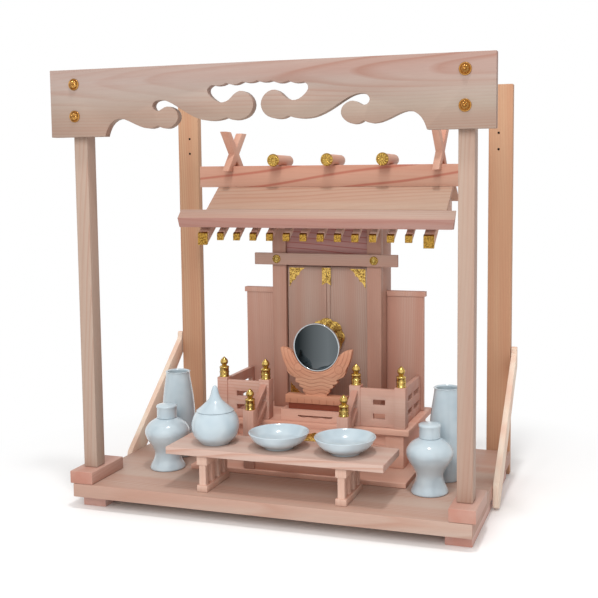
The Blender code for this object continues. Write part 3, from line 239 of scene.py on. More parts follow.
def spun(profile: Sequence[Point], steps: int) -> Shape:
    """Turn a profile of (radius, height) points about Z into a closed mesh.

    Args:
        profile: Points from the axis round the section and back to the axis.
        steps: Facets round the axis.

    Returns:
        The turned mesh.
    """
    builder = bmesh.new()
    row = [builder.verts.new((radius, 0.0, height)) for radius, height in profile]
    edges = [builder.edges.new(pair) for pair in zip(row, row[1:])]
    bmesh.ops.spin(builder, geom=row + edges, cent=(0, 0, 0), axis=(0, 0, 1), dvec=(0, 0, 0),
                   angle=math.tau, steps=steps, use_merge=True, use_duplicate=False)
    bmesh.ops.remove_doubles(builder, verts=builder.verts, dist=0.005 * MM)
    bmesh.ops.recalc_face_normals(builder, faces=builder.faces)
    return builder


def plate(outline: Sequence[Point], thickness: float, rim: float = 0.0) -> Shape:
    """Make an upright plate from an (x, z) outline, with its back at y = 0 and its face at -thickness.

    Args:
        outline: Corners of the plate.
        thickness: The plate's thickness.
        rim: Width of a raised rim, or 0 for a flat face.

    Returns:
        The plate's mesh.
    """
    builder = bmesh.new()
    face = builder.faces.new([builder.verts.new((across, 0.0, up)) for across, up in outline])
    face.normal_update()
    made = bmesh.ops.extrude_face_region(builder, geom=[face])
    moved = [part for part in made["geom"] if isinstance(part, bmesh.types.BMVert)]
    bmesh.ops.translate(builder, vec=(0, -thickness, 0), verts=moved)
    bmesh.ops.recalc_face_normals(builder, faces=builder.faces)
    if rim:
        front = min(builder.faces, key=lambda part: part.calc_center_median().y)
        bmesh.ops.inset_region(builder, faces=[front], thickness=rim, depth=0.0)
        bmesh.ops.translate(builder, vec=(0, thickness * RIM_DEPTH, 0), verts=front.verts)
    return builder


def block(size: Sequence[float], centre: Sequence[float], edge: float = 0.0) -> Shape:
    """Make a box.

    Args:
        size: Its length along each axis.
        centre: Its middle.
        edge: How far its edges are softened.

    Returns:
        The box's mesh.
    """
    builder = bmesh.new()
    bmesh.ops.create_cube(builder, size=1.0)
    bmesh.ops.scale(builder, vec=size, verts=builder.verts)
    if edge:
        bmesh.ops.bevel(builder, geom=builder.edges, offset=edge, segments=2, affect="EDGES", profile=0.5,
                        material=-1)
    bmesh.ops.translate(builder, vec=centre, verts=builder.verts)
    return builder


def placed(builder: Shape, move: Sequence[float], turn: Optional[Matrix] = None) -> Shape:
    """Turn a mesh about the origin, then move it, and return it."""
    bmesh.ops.transform(builder, matrix=Matrix.Translation(move) @ (turn or Matrix()), verts=builder.verts)
    return builder


def gathered(parts: Iterable[Shape]) -> Shape:
    """Gather several meshes in one.

    Args:
        parts: The meshes, which are freed.

    Returns:
        The whole mesh.
    """
    whole = bmesh.new()
    for part in parts:
        mesh = bpy.data.meshes.new("part")
        part.to_mesh(mesh)
        part.free()
        whole.from_mesh(mesh)
        bpy.data.meshes.remove(mesh)
    return whole


def rosette(profile: Sequence[Point], steps: int, petals: int, rise: float, span: Point) -> Shape:
    """Turn a profile, raise a ring of petals on it, and face it to the front.

    Args:
        profile: The profile's (radius, height) points.
        steps: Facets round the axis.
        petals: How many petals there are.
        rise: How far a petal stands above the mean face.
        span: Shares of the radius between which the petals lie.

    Returns:
        The rosette's mesh.
    """
    made = spun(profile, steps)
    radius = max(across for across, _ in profile)
    for vertex in made.verts:
        if span[0] < vertex.co.xy.length / radius < span[1]:
            vertex.co.z += rise * math.cos(petals * math.atan2(vertex.co.y, vertex.co.x))
    return placed(made, (0, 0, 0), TO_FRONT)


def add_piece(name: str, builder: Shape, material: Material, body: str = "cabinet",
              stands_for: Sequence[str] = ()) -> None:
    """Turn a mesh into a piece that rides on a body.

    Args:
        name: The piece's name.
        builder: Its mesh, which is freed.
        material: Its finish.
        body: The body that it moves with.
        stands_for: CAD nodes that it replaces.
    """
    for face in builder.faces:
        face.smooth = True
    for edge in builder.edges:
        edge.smooth = edge.is_manifold and edge.calc_face_angle(0.0) < SMOOTH_BELOW
    mesh = bpy.data.meshes.new(name)
    builder.to_mesh(mesh)
    builder.free()
    mesh.materials.append(material)
    piece = bpy.data.objects.new(name, mesh)
    bpy.context.scene.collection.objects.link(piece)
    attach(piece, body)
    if stands_for:
        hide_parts(*stands_for)
    LOG.info("%s: %d faces on %s", name, len(mesh.polygons), body)


# Finishes


class Grain(Enum):
    """The axis that a board's grain runs along."""

    ACROSS = 0
    DEEP = 1
    UP = 2


class Tone(Enum):
    """Tones of planed cypress, from pale sapwood boards to pink heartwood; SHELL is also lightened as painted
    light for the rafters in the shade under the eave.
    """

    SAND = "b59d91"
    MIST = "a38f88"
    OAT = "aa9386"
    ROSE = "b99589"
    CHALK = "ccaca4"
    HONEY = "b89175"
    STRAW = "e4d2c2"
    BLUSH = "d2a796"
    SALMON = "c5a295"
    CLAY = "be988a"
    TAUPE = "aa8678"
    MAUVE = "ae8785"
    DOVE = "a88f84"
    SHELL = "cdb0a2"
    WHEAT = "ba9b89"
    PEACH = "cb9f8c"
    TAN = "c08f76"
    PEARL = "c2aba1"


class Cut(Enum):
    """How a board was sawn: beside the heart, with broad flames, or towards it, with lines."""

    FLAT = 0
    QUARTER = 1


@dataclass(frozen=True)
class RedLines:
    """Long red lines that cross a board at a slant: their spacing, slope, strength and offset."""

    spacing_mm: float
    slope: float
    force: float
    offset_mm: float
    wander_mm: float = 22.0


@dataclass(frozen=True)
class Skirt:
    """A tint multiplied into a board's colour below a height, with a soft edge; on the mirror stand it is
    painted shade.
    """

    height_mm: float
    tint: str
    soft_mm: float


@dataclass(frozen=True)
class Carving:
    """Cut lines on the mirror stand, in mm: scrolls on the arms, arcs about the mirror, waves and teeth."""

    arms: tuple = ((-10.6, 170.7), (48.7, 169.7))
    scroll_reach: float = 6.6
    scroll_pitch: float = 5.8
    mirror: Point = (15.6, 199.0)
    arc_shift: float = 1.5
    arc_pitch: float = 5.4
    waist: float = 158.0
    belt_top: float = 133.0
    wave_pitch: float = 5.0
    wave_rise: float = 1.5
    wave_turn: float = 0.2
    belt: Point = (124.2, 3.3)
    tooth_pitch: float = 10.7
    cut: float = 0.5

    def lines(self, tree: Tree, level: Socket, pitch: float) -> Socket:
        """Thin lines wherever a level is a multiple of the pitch.

        Args:
            tree: The material's nodes.
            level: The level in mm.
            pitch: The lines' spacing in mm.

        Returns:
            1 on the lines.
        """
        near = add_math(tree, "PINGPONG", level, pitch / 2)
        return add_node(tree, "MapRange", {"Value": near, "From Min": self.cut * 0.5, "To Min": 1.0,
                                           "From Max": self.cut * 1.4, "To Max": 0.0}).outputs[0]

    def grooves(self, tree: Tree, coords: Socket) -> Socket:
        """Find how far each spot of the stand is cut.

        Args:
            tree: The material's tree.
            coords: Coordinates in metres.

        Returns:
            A value from 0 to 1.
        """
        face = add_node(tree, "VectorMath", {0: coords, 1: (1 / MM, 0.0, 1 / MM)}, operation="MULTIPLY")
        face = face.outputs[0]
        parts = add_node(tree, "SeparateXYZ", {"Vector": face})
        across, height = parts.outputs["X"], parts.outputs["Z"]
        from_arms = [add_measure(tree, "DISTANCE", face, (arm[0], 0.0, arm[1])) for arm in self.arms]
        from_mirror = add_measure(tree, "DISTANCE", face, (self.mirror[0], 0.0, self.mirror[1]))
        scroll = add_math(tree, "MINIMUM", *from_arms)
        in_scroll = add_math(tree, "LESS_THAN", scroll, self.scroll_reach)
        scrolls = add_math(tree, "MULTIPLY", self.lines(tree, scroll, self.scroll_pitch), in_scroll)
        on_arms = add_math(tree, "GREATER_THAN", height, self.waist)
        arcs = self.lines(tree, add_math(tree, "ADD", from_mirror, self.arc_shift), self.arc_pitch)
        arcs = add_math(tree, "MULTIPLY", arcs, add_math(tree, "GREATER_THAN", on_arms, in_scroll))
        swell = add_math(tree, "SINE", add_math(tree, "MULTIPLY", across, self.wave_turn))
        level = add_math(tree, "MULTIPLY_ADD", swell, self.wave_rise, height)
        in_waves = add_math(tree, "COMPARE", height, (self.waist + self.belt_top) / 2,
                            (self.waist - self.belt_top) / 2)
        waves = add_math(tree, "MULTIPLY", self.lines(tree, level, self.wave_pitch), in_waves)
        on_belt = add_math(tree, "COMPARE", height, *self.belt)
        teeth = add_math(tree, "MULTIPLY", self.lines(tree, across, self.tooth_pitch), on_belt)
        return add_math(tree, "MAXIMUM", add_math(tree, "MAXIMUM", scrolls, arcs),
                        add_math(tree, "MAXIMUM", waves, teeth))


@dataclass(frozen=True)
class Board:
    """What one wooden piece is sawn from: grain, tone, rings and cut, and what only some boards have."""

    grain: Grain
    tone: Tone
    ring_mm: float
    ring_force: float
    cut: Cut = Cut.QUARTER
    lines: Optional[RedLines] = None
    skirt: Optional[Skirt] = None
    carving: Optional[Carving] = None


@dataclass(frozen=True)
class LogSpace:
    """Coordinates in the log that a board was sawn from, with the log's heart on the grain's axis."""

    tree: Tree
    coords: Socket
    axis: int

    def stretched(self, across: float, along: float) -> Socket:
        """Coordinates with their own scale across and along the grain."""
        scale = [along if index == self.axis else across for index in range(3)]
        return add_node(self.tree, "Mapping", {"Vector": self.coords, "Scale": scale}).outputs[0]

    def noise(self, across: float, along: float, detail: float) -> Socket:
        """Streaky noise with the given features a metre across and along the grain."""
        return add_noise(self.tree, self.stretched(across, along), 1.0, detail, Roughness=0.55)

    def late_wood(self, ring_mm: float) -> Socket:
        """Growth rings about the heart: each pales towards spring and ends in a dark line.

        Args:
            ring_mm: Their spacing, which sets the wave's scale.

        Returns:
            1 on the dark lines.
        """
        scale = WAVE_PERIOD / (ring_mm * MM)
        rings = add_node(self.tree, "TexWave", {
            "Vector": self.stretched(1.0, 0.12), "Scale": scale, "Distortion": 12.0, "Detail": 2.0,
            "Detail Scale": 1 / (scale * 44 * MM), "Detail Roughness": 0.4},
            wave_type="RINGS", rings_direction="XYZ"[self.axis], wave_profile="SAW").outputs["Fac"]
        return add_ramp(self.tree, rings, [(0.0, 0.0), (0.5, 0.10), (0.86, 1.0), (1.0, 0.1)])


@dataclass(frozen=True)
class PlanedCypress:
    """Planed, unfinished cypress: sapwood and pinker heartwood, growth rings, fibres and a silky face."""

    board: Board
    sap_tint: tuple = (1.07, 1.10, 1.08)
    heart_tint: tuple = (1.0, 0.86, 0.80)
    ring_tint: tuple = (0.84, 0.56, 0.46)
    line_tint: tuple = (0.80, 0.42, 0.36)
    # Colour and share of the painted shade in carved lines.
    groove_shade_tint: tuple = (0.6, 0.4, 0.34)
    groove_shade_share: float = 0.4
    groove_force: float = 0.7
    end_tint: str = "efd2ca"
    streaks: float = 0.35
    roughness: float = 0.56
    ior: float = 1.45
    specular: float = 0.35
    relief: float = 0.25
    relief_mm: float = 0.06
    flat_heart_mm: Point = (26, 48)
    flat_spread: float = 0.3
    quarter_heart_mm: Point = (60, 110)
    quarter_side_mm: Point = (30, 55)
    lean: Point = (0.012, 0.03)

    def tinted(self, tint: Sequence[float]) -> Colour:
        """The board's own tone times a tint."""
        return tuple(part * share for part, share in zip(linear(self.board.tone.value), tint)) + (1.0,)

    def log_place(self, node: str, dice: random.Random) -> tuple[list, list]:
        """Choose where the log's heart lies beside the board.

        Args:
            node: The CAD node of the board.
            dice: The board's own chance.

        Returns:
            Location and rotation for a Mapping node that puts the heart on the grain axis.
        """
        low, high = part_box(node)
        axis = self.board.grain.value
        across = [index for index in range(3) if index != axis]
        thin = min(across, key=lambda index: high[index] - low[index])
        wide = max(across, key=lambda index: high[index] - low[index])
        heart = [(low[index] + high[index]) / 2 for index in range(3)]
        if self.board.cut is Cut.FLAT:
            heart[thin] += dice.choice((-1, 1)) * dice.uniform(*self.flat_heart_mm) * MM
            heart[wide] += dice.uniform(-self.flat_spread, self.flat_spread) * (high[wide] - low[wide])
        else:
            half = (high[wide] - low[wide]) / 2
            heart[wide] += dice.choice((-1, 1)) * (half + dice.uniform(*self.quarter_heart_mm) * MM)
            heart[thin] += dice.choice((-1, 1)) * dice.uniform(*self.quarter_side_mm) * MM
        lean = [dice.choice((-1, 1)) * dice.uniform(*self.lean) for _ in range(3)]
        lean[axis] = 0.0
        turn = Euler(lean).to_matrix()
        return list(-(turn @ Vector(heart))), lean

    def with_red_lines(self, log: LogSpace, spot: Socket, colour: Socket) -> Socket:
        """Draw the board's long red lines.

        Args:
            log: The log's coordinates.
            spot: The object's coordinates.
            colour: The wood's colour without them.

        Returns:
            The colour with them.
        """
        tree, lines = log.tree, self.board.lines
        level = add_measure(tree, "DOT_PRODUCT", spot, (-lines.slope, 0.0, 1.0))
        level = add_math(tree, "MULTIPLY_ADD", log.noise(9, 3.2, 1.0), lines.wander_mm * MM, level)
        level = add_math(tree, "ADD", level, lines.offset_mm * MM)
        band = add_node(tree, "CombineXYZ", {"X": level}).outputs[0]
        red = add_node(tree, "TexWave", {"Vector": band, "Scale": WAVE_PERIOD / (lines.spacing_mm * MM)})
        share = add_ramp(tree, red.outputs["Fac"], [(0.88, 0.0), (0.99, lines.force)])
        return add_mix(tree, share, colour, self.tinted(self.line_tint))

    def with_skirt(self, tree: Tree, spot: Socket, colour: Socket) -> Socket:
        """Tint the lower part of the board.

        Args:
            tree: The material's tree.
            spot: The object's coordinates.
            colour: The wood's colour without the tint.

        Returns:
            The colour with it.
        """
        skirt = self.board.skirt
        level = add_node(tree, "SeparateXYZ", {"Vector": spot}).outputs["Z"]
        below = add_node(tree, "MapRange", {
            "Value": level, "From Min": (skirt.height_mm - skirt.soft_mm) * MM, "To Min": 1.0,
            "From Max": (skirt.height_mm + skirt.soft_mm) * MM, "To Max": 0.0}).outputs[0]
        return add_mix(tree, below, colour, add_mix(tree, 1.0, colour, linear(skirt.tint), "MULTIPLY"))

    def build(self, node: str, seed: int) -> Material:
        """Build the finish for one board.

        Args:
            node: The CAD node of the board.
            seed: Picks where in the log the board was cut.

        Returns:
            The board's own material.
        """
        board = self.board
        material, tree, shader = new_material(node + "_cypress")
        coords = add_node(tree, "TexCoord")
        spot = coords.outputs["Object"]
        place, lean = self.log_place(node, random.Random(seed))
        mapped = add_node(tree, "Mapping", {"Vector": spot, "Location": place, "Rotation": lean}).outputs[0]
        log = LogSpace(tree, mapped, board.grain.value)

        # Zones of sapwood and heartwood, pink streaks, and rings that fade in and out along the board
        late_wood = log.late_wood(board.ring_mm)
        most = board.ring_force
        force = add_ramp(tree, log.noise(21, 1.3, 1.0), [(0.36, 0.15 * most), (0.68, most)])
        ring_share = add_mix(tree, 1.0, late_wood, force, "MULTIPLY")
        heartwood = self.tinted(self.heart_tint)
        zone = add_ramp(tree, log.noise(26, 0.8, 2.0), [(0.38, 0.0), (0.62, 1.0)])
        colour = add_mix(tree, zone, self.tinted(self.sap_tint), heartwood)
        streak = add_ramp(tree, log.noise(150, 1.9, 2.0), [(0.55, 0.0), (0.72, self.streaks)])
        colour = add_mix(tree, streak, colour, heartwood)
        colour = add_mix(tree, ring_share, colour, self.tinted(self.ring_tint))
        if board.lines:
            colour = self.with_red_lines(log, spot, colour)
        if board.skirt:
            colour = self.with_skirt(tree, spot, colour)
        # Carved lines are darkened: painted shade in the grooves.
        cuts = board.carving and board.carving.grooves(tree, spot)
        if cuts:
            share = add_math(tree, "MULTIPLY", cuts, self.groove_shade_share)
            colour = add_mix(tree, share, colour, self.tinted(self.groove_shade_tint))
        fibre = log.noise(1500, 22, 2.0)
        colour = add_mix(tree, 1.0, colour, add_ramp(tree, fibre, [(0.3, 0.94), (0.7, 1.0)]), "MULTIPLY")

        # Sawn ends drink the light, so they look darker and redder
        along = [float(index == log.axis) for index in range(3)]
        end = add_math(tree, "ABSOLUTE", add_measure(tree, "DOT_PRODUCT", coords.outputs["Normal"], along))
        end_colour = add_mix(tree, 1.0, colour, linear(self.end_tint), "MULTIPLY")
        colour = add_mix(tree, add_ramp(tree, end, [(0.6, 0.0), (0.9, 0.5)]), colour, end_colour)
        normal = add_bump(tree, add_mix(tree, 0.4, fibre, late_wood), self.relief, self.relief_mm)
        if cuts:
            carved = {"Height": cuts, "Strength": self.groove_force, "Distance": board.carving.cut * MM,
                      "Normal": normal}
            normal = add_node(tree, "Bump", carved, invert=True).outputs[0]
        fill(tree, shader, {"Base Color": colour, "Roughness": self.roughness, "IOR": self.ior,
                            "Specular IOR Level": self.specular, "Normal": normal})
        return material


class Chasing(Enum):
    """How gilt metal is worked, with the size of its pattern in mm: plain, beaten in scrolls, or dotted."""

    PLAIN = 5.0
    SCROLLS = 2.6
    DOTS = 1.3


# Stops of the painted reflection bands on polished metal.
PAINTED_REFLECTION_STOPS = [(0.04, 0.0), (0.2, 0.75), (0.42, 0.1), (0.75, 0.85)]


def add_painted_reflection_bands(tree: Tree, colour: Socket, dark: str) -> Socket:
    """Darken a polished metal where it turns away from the eye: a painted reflection of a dim room, as on a
    bright dome.
    """
    facing = add_node(tree, "LayerWeight", {"Blend": 0.5}).outputs["Facing"]
    return add_mix(tree, add_ramp(tree, facing, PAINTED_REFLECTION_STOPS), colour, linear(dark))


@dataclass(frozen=True)
class GiltMetal:
    """Gold-plated brass sheet, pressed and polished: warm gloss on the raised work, and a dark brown painted
    shade in the hollows.
    """

    gold: str = "e6bf6a"
    shade_and_reflection: str = "6e4a1c"
    roughness: float = 0.2
    relief_mm: float = 0.35
    curl: float = 1.6

    def build(self, name: str, chasing: Chasing) -> Material:
        """Build the gilt finish.

        Args:
            name: What it is for.
            chasing: How the metal is worked.

        Returns:
            The material.
        """
        material, tree, shader = new_material(name + "_gilt")
        coords = object_coords(tree)
        scale = 1 / (chasing.value * MM)
        if chasing is Chasing.DOTS:
            relief = add_node(tree, "TexVoronoi", {"Vector": coords, "Scale": scale}).outputs["Distance"]
            raised = add_ramp(tree, relief, [(0.2, 1.0), (0.75, 0.0)])
        else:
            relief = add_noise(tree, coords, scale, 1.0, Distortion=self.curl)
            raised = add_ramp(tree, relief, [(0.38, 0.0), (0.52, 1.0)])
        plain = chasing is Chasing.PLAIN
        depth = 0.25 if plain else 0.85
        # The low parts of the relief take the dark colour as painted shade; plain work also takes it as
        # painted reflection bands.
        share = add_math(tree, "MULTIPLY_ADD", raised, -depth, depth)
        colour = add_mix(tree, share, linear(self.gold), linear(self.shade_and_reflection))
        if plain:
            colour = add_painted_reflection_bands(tree, colour, self.shade_and_reflection)
        normal = add_bump(tree, raised, 0.12 if plain else 0.6, self.relief_mm)
        fill(tree, shader, {"Base Color": colour, "Metallic": 1.0, "Roughness": self.roughness,
                            "Normal": normal})
        return material


@dataclass(frozen=True)
class GlazedPorcelain:
    """White porcelain under a clear glaze: cool white, wet gloss, and a faint waviness of the glaze."""

    body: str = "b9c7ce"
    pooled: str = "abbbc4"
    clouds_a_metre: float = 45.0
    ripples_a_metre: float = 160.0
    ripple_mm: float = 0.1
    roughness: float = 0.22
    ior: float = 1.5
    coat: float = 0.7
    coat_roughness: float = 0.05

    def build(self, name: str) -> Material:
        """Build the glaze.

        Args:
            name: What it is for.

        Returns:
            The material.
        """
        material, tree, shader = new_material(name + "_glaze")
        coords = object_coords(tree)
        cloud = add_ramp(tree, add_noise(tree, coords, self.clouds_a_metre, 1.0), [(0.35, 0.0), (0.7, 1.0)])
        ripple = add_noise(tree, coords, self.ripples_a_metre, 1.0)
        fill(tree, shader, {"Base Color": add_mix(tree, cloud, linear(self.body), linear(self.pooled)),
                            "Roughness": self.roughness, "IOR": self.ior, "Coat Weight": self.coat,
                            "Coat Roughness": self.coat_roughness,
                            "Normal": add_bump(tree, ripple, 0.1, self.ripple_mm)})
        return material


@dataclass(frozen=True)
class PlainMetal:
    """A bare metal with a faint polish pattern, and, when a band colour is given, dark bands that are a
    painted reflection of a dim room.
    """

    colour: str
    shade: str
    roughness: float
    # Colour of the painted reflection bands, or empty for none.
    bands: str = ""
    hazes_a_metre: float = 90.0

    def build(self, name: str) -> Material:
        """Build the metal.

        Args:
            name: What it is for.

        Returns:
            The material.
        """
        material, tree, shader = new_material(name + "_metal")
        haze = add_noise(tree, object_coords(tree), self.hazes_a_metre, 2.0)
        colour = add_mix(tree, haze, linear(self.colour), linear(self.shade))
        if self.bands:
            colour = add_painted_reflection_bands(tree, colour, self.bands)
        fill(tree, shader, {"Base Color": colour, "Metallic": 1.0, "Roughness": self.roughness})
        return material


@dataclass(frozen=True)
class MirrorGlass:
    """A silvered glass whose colour is a painted reflection of a dim room: dark to the left, grey to the
    right.
    """

    dark: str = "24292b"
    pale: str = "6a7073"
    roughness: float = 0.04

    def build(self, name: str, middle: float, radius: float) -> Material:
        """Build the glass.

        Args:
            name: The material's name.
            middle: The mirror's middle along X.
            radius: The mirror's radius.

        Returns:
            The material.
        """
        material, tree, shader = new_material(name)
        across = add_node(tree, "SeparateXYZ", {"Vector": object_coords(tree)}).outputs["X"]
        share = add_node(tree, "MapRange", {"Value": across, "From Min": middle - radius,
                                            "From Max": middle + radius}).outputs[0]
        # Painted reflection: the glass goes from dark on the left to grey on the right.
        painted_reflection_share = add_ramp(tree, share, [(0.12, 0.0), (0.45, 0.62), (0.75, 1.0), (1.0, 0.8)])
        fill(tree, shader, {"Base Color": add_mix(tree, painted_reflection_share, linear(self.dark), linear(self.pale)),
                            "Metallic": 1.0, "Roughness": self.roughness})
        return material


CHROME = PlainMetal("c9cfd2", "bcc2c6", 0.09)
BLACK_STEEL = PlainMetal("2b2522", "191513", 0.45)
# The dome nails' last colour paints a dim room's reflection on the dome.
DOME_BRASS = PlainMetal("eeb76a", "d79c50", 0.13, "4a2c12")


# Wooden pieces that come from the CAD


def pair(stem: str) -> tuple[str, str]:
    """The names of a left and a right piece."""
    return stem + "_left", stem + "_right"


@dataclass
class Joinery:
    """Copies of the wooden CAD nodes with their edges eased, each with a grain of its own."""

    edge_mm: float = 0.45
    eased_above: float = math.radians(28)
    first_seed: int = 40
    boards: dict = field(default_factory=lambda: {
        ("shelf_board",): Board(Grain.ACROSS, Tone.SAND, 4.4, 0.95),
        ("valance_board",): Board(Grain.ACROSS, Tone.MIST, 3.0, 0.85, Cut.FLAT,
                                  skirt=Skirt(530.0, "f8fcf4", 20.0)),
        pair("post"): Board(Grain.UP, Tone.OAT, 3.0, 0.7),
        pair("post_block"): Board(Grain.DEEP, Tone.ROSE, 1.8, 0.4),
        pair("foot"): Board(Grain.DEEP, Tone.CHALK, 1.8, 0.4),
        ("upright_left",): Board(Grain.UP, Tone.HONEY, 3.4, 0.85),
        ("upright_right",): Board(Grain.UP, Tone.HONEY, 3.6, 0.85),
        pair("brace"): Board(Grain.UP, Tone.STRAW, 1.8, 0.4),
        ("ground_plate",): Board(Grain.ACROSS, Tone.BLUSH, 3.6, 0.4, Cut.FLAT),
        ("plinth_box",): Board(Grain.ACROSS, Tone.BLUSH, 2.8, 0.35),
        ("veranda_floor",): Board(Grain.ACROSS, Tone.BLUSH, 2.4, 0.4),
        ("stair",): Board(Grain.ACROSS, Tone.BLUSH, 2.2, 0.4),
        pair("stair_rail"): Board(Grain.UP, Tone.SALMON, 2.0, 0.5),
        pair("railing"): Board(Grain.ACROSS, Tone.SALMON, 2.0, 0.5),
        pair("screen"): Board(Grain.UP, Tone.CLAY, 2.8, 0.5),
        ("front_frame",): Board(Grain.UP, Tone.TAUPE, 2.6, 0.6),
        ("body_shell",): Board(Grain.UP, Tone.TAUPE, 3.0, 0.55),
        ("transom_board",): Board(Grain.ACROSS, Tone.MAUVE, 4.0, 0.3, lines=RedLines(8.5, -0.09, 0.9, 0.0)),
        ("lintel_beam",): Board(Grain.ACROSS, Tone.DOVE, 2.4, 0.35),
        pair("door"): Board(Grain.UP, Tone.DOVE, 2.6, 0.5),
        # The rafters' pale SHELL tone is partly painted light, for the shade under the eave.
        ("rafter_frame",): Board(Grain.DEEP, Tone.SHELL, 1.8, 0.4),
        ("eave_board",): Board(Grain.ACROSS, Tone.SAND, 3.4, 0.35, skirt=Skirt(375.6, "f0dfe4", 0.2)),
        ("roof_front",): Board(Grain.ACROSS, Tone.WHEAT, 4.4, 0.75),
        ("roof_rear",): Board(Grain.ACROSS, Tone.WHEAT, 4.0, 0.6),
        ("ridge_beam",): Board(Grain.ACROSS, Tone.PEACH, 5.0, 0.25, lines=RedLines(21.0, 0.13, 0.8, 6.0)),
        ("roof_log_left", "roof_log_middle", "roof_log_right"): Board(Grain.DEEP, Tone.PEACH, 2.4, 0.3),
        pair("chigi"): Board(Grain.UP, Tone.PEACH, 2.4, 0.4),
        # The mirror stand's tint below the belt is painted shade: the foot is darkened for the shade under
        # the belt's overhang.
        ("mirror_stand",): Board(Grain.ACROSS, Tone.TAN, 1.8, 0.08, skirt=Skirt(121.2, "b48a84", 0.2),
                                 carving=Carving()),
        ("table_top",): Board(Grain.ACROSS, Tone.PEARL, 3.2, 0.7),
        pair("table_legs"): Board(Grain.UP, Tone.SHELL, 1.8, 0.4)})

    def welded(self, node: bpy.types.Object) -> Shape:
        """Copy a CAD node's mesh, with its flat faces whole.

        Args:
            node: The CAD node, which stays as it is.

        Returns:
            The copy.
        """
        builder = bmesh.new()
        builder.from_mesh(node.data)
        bmesh.ops.remove_doubles(builder, verts=builder.verts, dist=0.004 * MM)
        bmesh.ops.dissolve_limit(builder, angle_limit=math.radians(0.6), verts=builder.verts,
                                 edges=builder.edges, use_dissolve_boundaries=False, delimit=set())
        return builder

    def without_caps(self, builder: Shape, name: str) -> None:
        """Take the plain caps off the newels of a railing, to make room for the gilt ones.

        Args:
            builder: The railing's mesh.
            name: Its CAD node.
        """
        low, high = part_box(name)
        top = high.z - CAP_HEIGHT + 0.1 * MM
        near, slack = low.y + NEWEL, 0.5 * MM
        caps = [vertex for vertex in builder.verts if vertex.co.z > top and vertex.co.y < near - slack]
        bmesh.ops.delete(builder, geom=caps, context="VERTS")
        rims = [edge for edge in builder.edges
                if edge.is_boundary and min(vertex.co.z for vertex in edge.verts) > top - slack]
        bmesh.ops.holes_fill(builder, edges=rims, sides=0)

    def build(self, frame: dict) -> None:
        """Dress every wooden node.

        Args:
            frame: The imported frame, with its nodes and its record.
        """
        record = frame["record"]
        owner = {name: body for body, names in record["behaviour"]["bodies"].items() for name in names}
        rows = [(name, board) for names, board in self.boards.items() for name in names]
        for seed, (name, board) in enumerate(rows, self.first_seed):
            builder = self.welded(frame["nodes"][name])
            if "rail" in name:
                self.without_caps(builder, name)
            sharp = [edge for edge in builder.edges
                     if edge.is_manifold and edge.calc_face_angle(0.0) > self.eased_above]
            bmesh.ops.bevel(builder, geom=sharp, offset=self.edge_mm * MM, segments=2, affect="EDGES",
                            profile=0.5, clamp_overlap=True, material=-1)
            finish = PlanedCypress(board).build(name, seed)
            add_piece(name + "_planed", builder, finish, owner[name], [name])


# Fittings of the shelf


@dataclass
class ShelfFittings:
    """The brass dome nails on the front board and the screws in the rear uprights."""

    nail_offset: float = 250.5 * MM
    nail_drops: tuple = (("upper", 18.5 * MM), ("lower", 58.5 * MM))
    nail_radius: float = 7.4 * MM
    screw_radius: float = 1.7 * MM
    screw_heights: tuple = (471.0 * MM, 494.0 * MM)
    screw_inset: float = 14.3 * MM

    def dome(self) -> Shape:
        """Make a dome nail: a flat flange, a hollow, and a domed head with eight petals.

        Returns:
            The nail's mesh.
        """
        head = smooth_run([(0, 4.6), (0.22, 4.4), (0.42, 3.7), (0.6, 2.6), (0.7, 1.3), (0.76, 0.9),
                           (0.86, 1.5), (0.96, 1.2), (1, 0.5)], 3)
        return rosette(section(self.nail_radius, [*head, (1, 0), (0, 0)]), 64, 8, 0.5 * MM, (0.2, 0.66))

    def screw(self) -> Shape:
        """Make a screw's head, sunk in the wood."""
        return spun(section(self.screw_radius, [(0, 0.25), (0.7, 0.5), (1, 0.2), (1, -0.3), (0, -0.3)]), 20)

    def build(self) -> None:
        """Make the nails and the screws."""
        low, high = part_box("valance_board")
        brass = DOME_BRASS.build("dome_nail")
        for side, word in SIDES:
            for row, drop in self.nail_drops:
                spot = (side * self.nail_offset, low.y, high.z - drop)
                add_piece(f"dome_nail_{word}_{row}", placed(self.dome(), spot), brass)
        heads = []
        for side, word in SIDES:
            low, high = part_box("upright_" + word)
            across = (high.x if side < 0 else low.x) + side * self.screw_inset
            heads += [placed(self.screw(), (across, low.y, height), TO_FRONT)
                      for height in self.screw_heights]
        add_piece("upright_screws", gathered(heads), BLACK_STEEL.build("screw"))


# Gilt fittings of the shrine


def disc(radius: float) -> Shape:
    """Make a pressed disc with a ring of twelve petals about a boss, facing the front.

    Args:
        radius: The disc's radius.

    Returns:
        The disc's mesh.
    """
    face = [(0, 2.0), (0.18, 1.9), (0.26, 1.1), (0.34, 1.0), (0.55, 1.6), (0.8, 1.5), (0.88, 0.9),
            (0.95, 1.3), (1, 0.8), (1, -0.6), (0, -0.6)]
    return rosette(section(radius, face), 72, 12, 0.55 * MM, (0.4, 0.84))


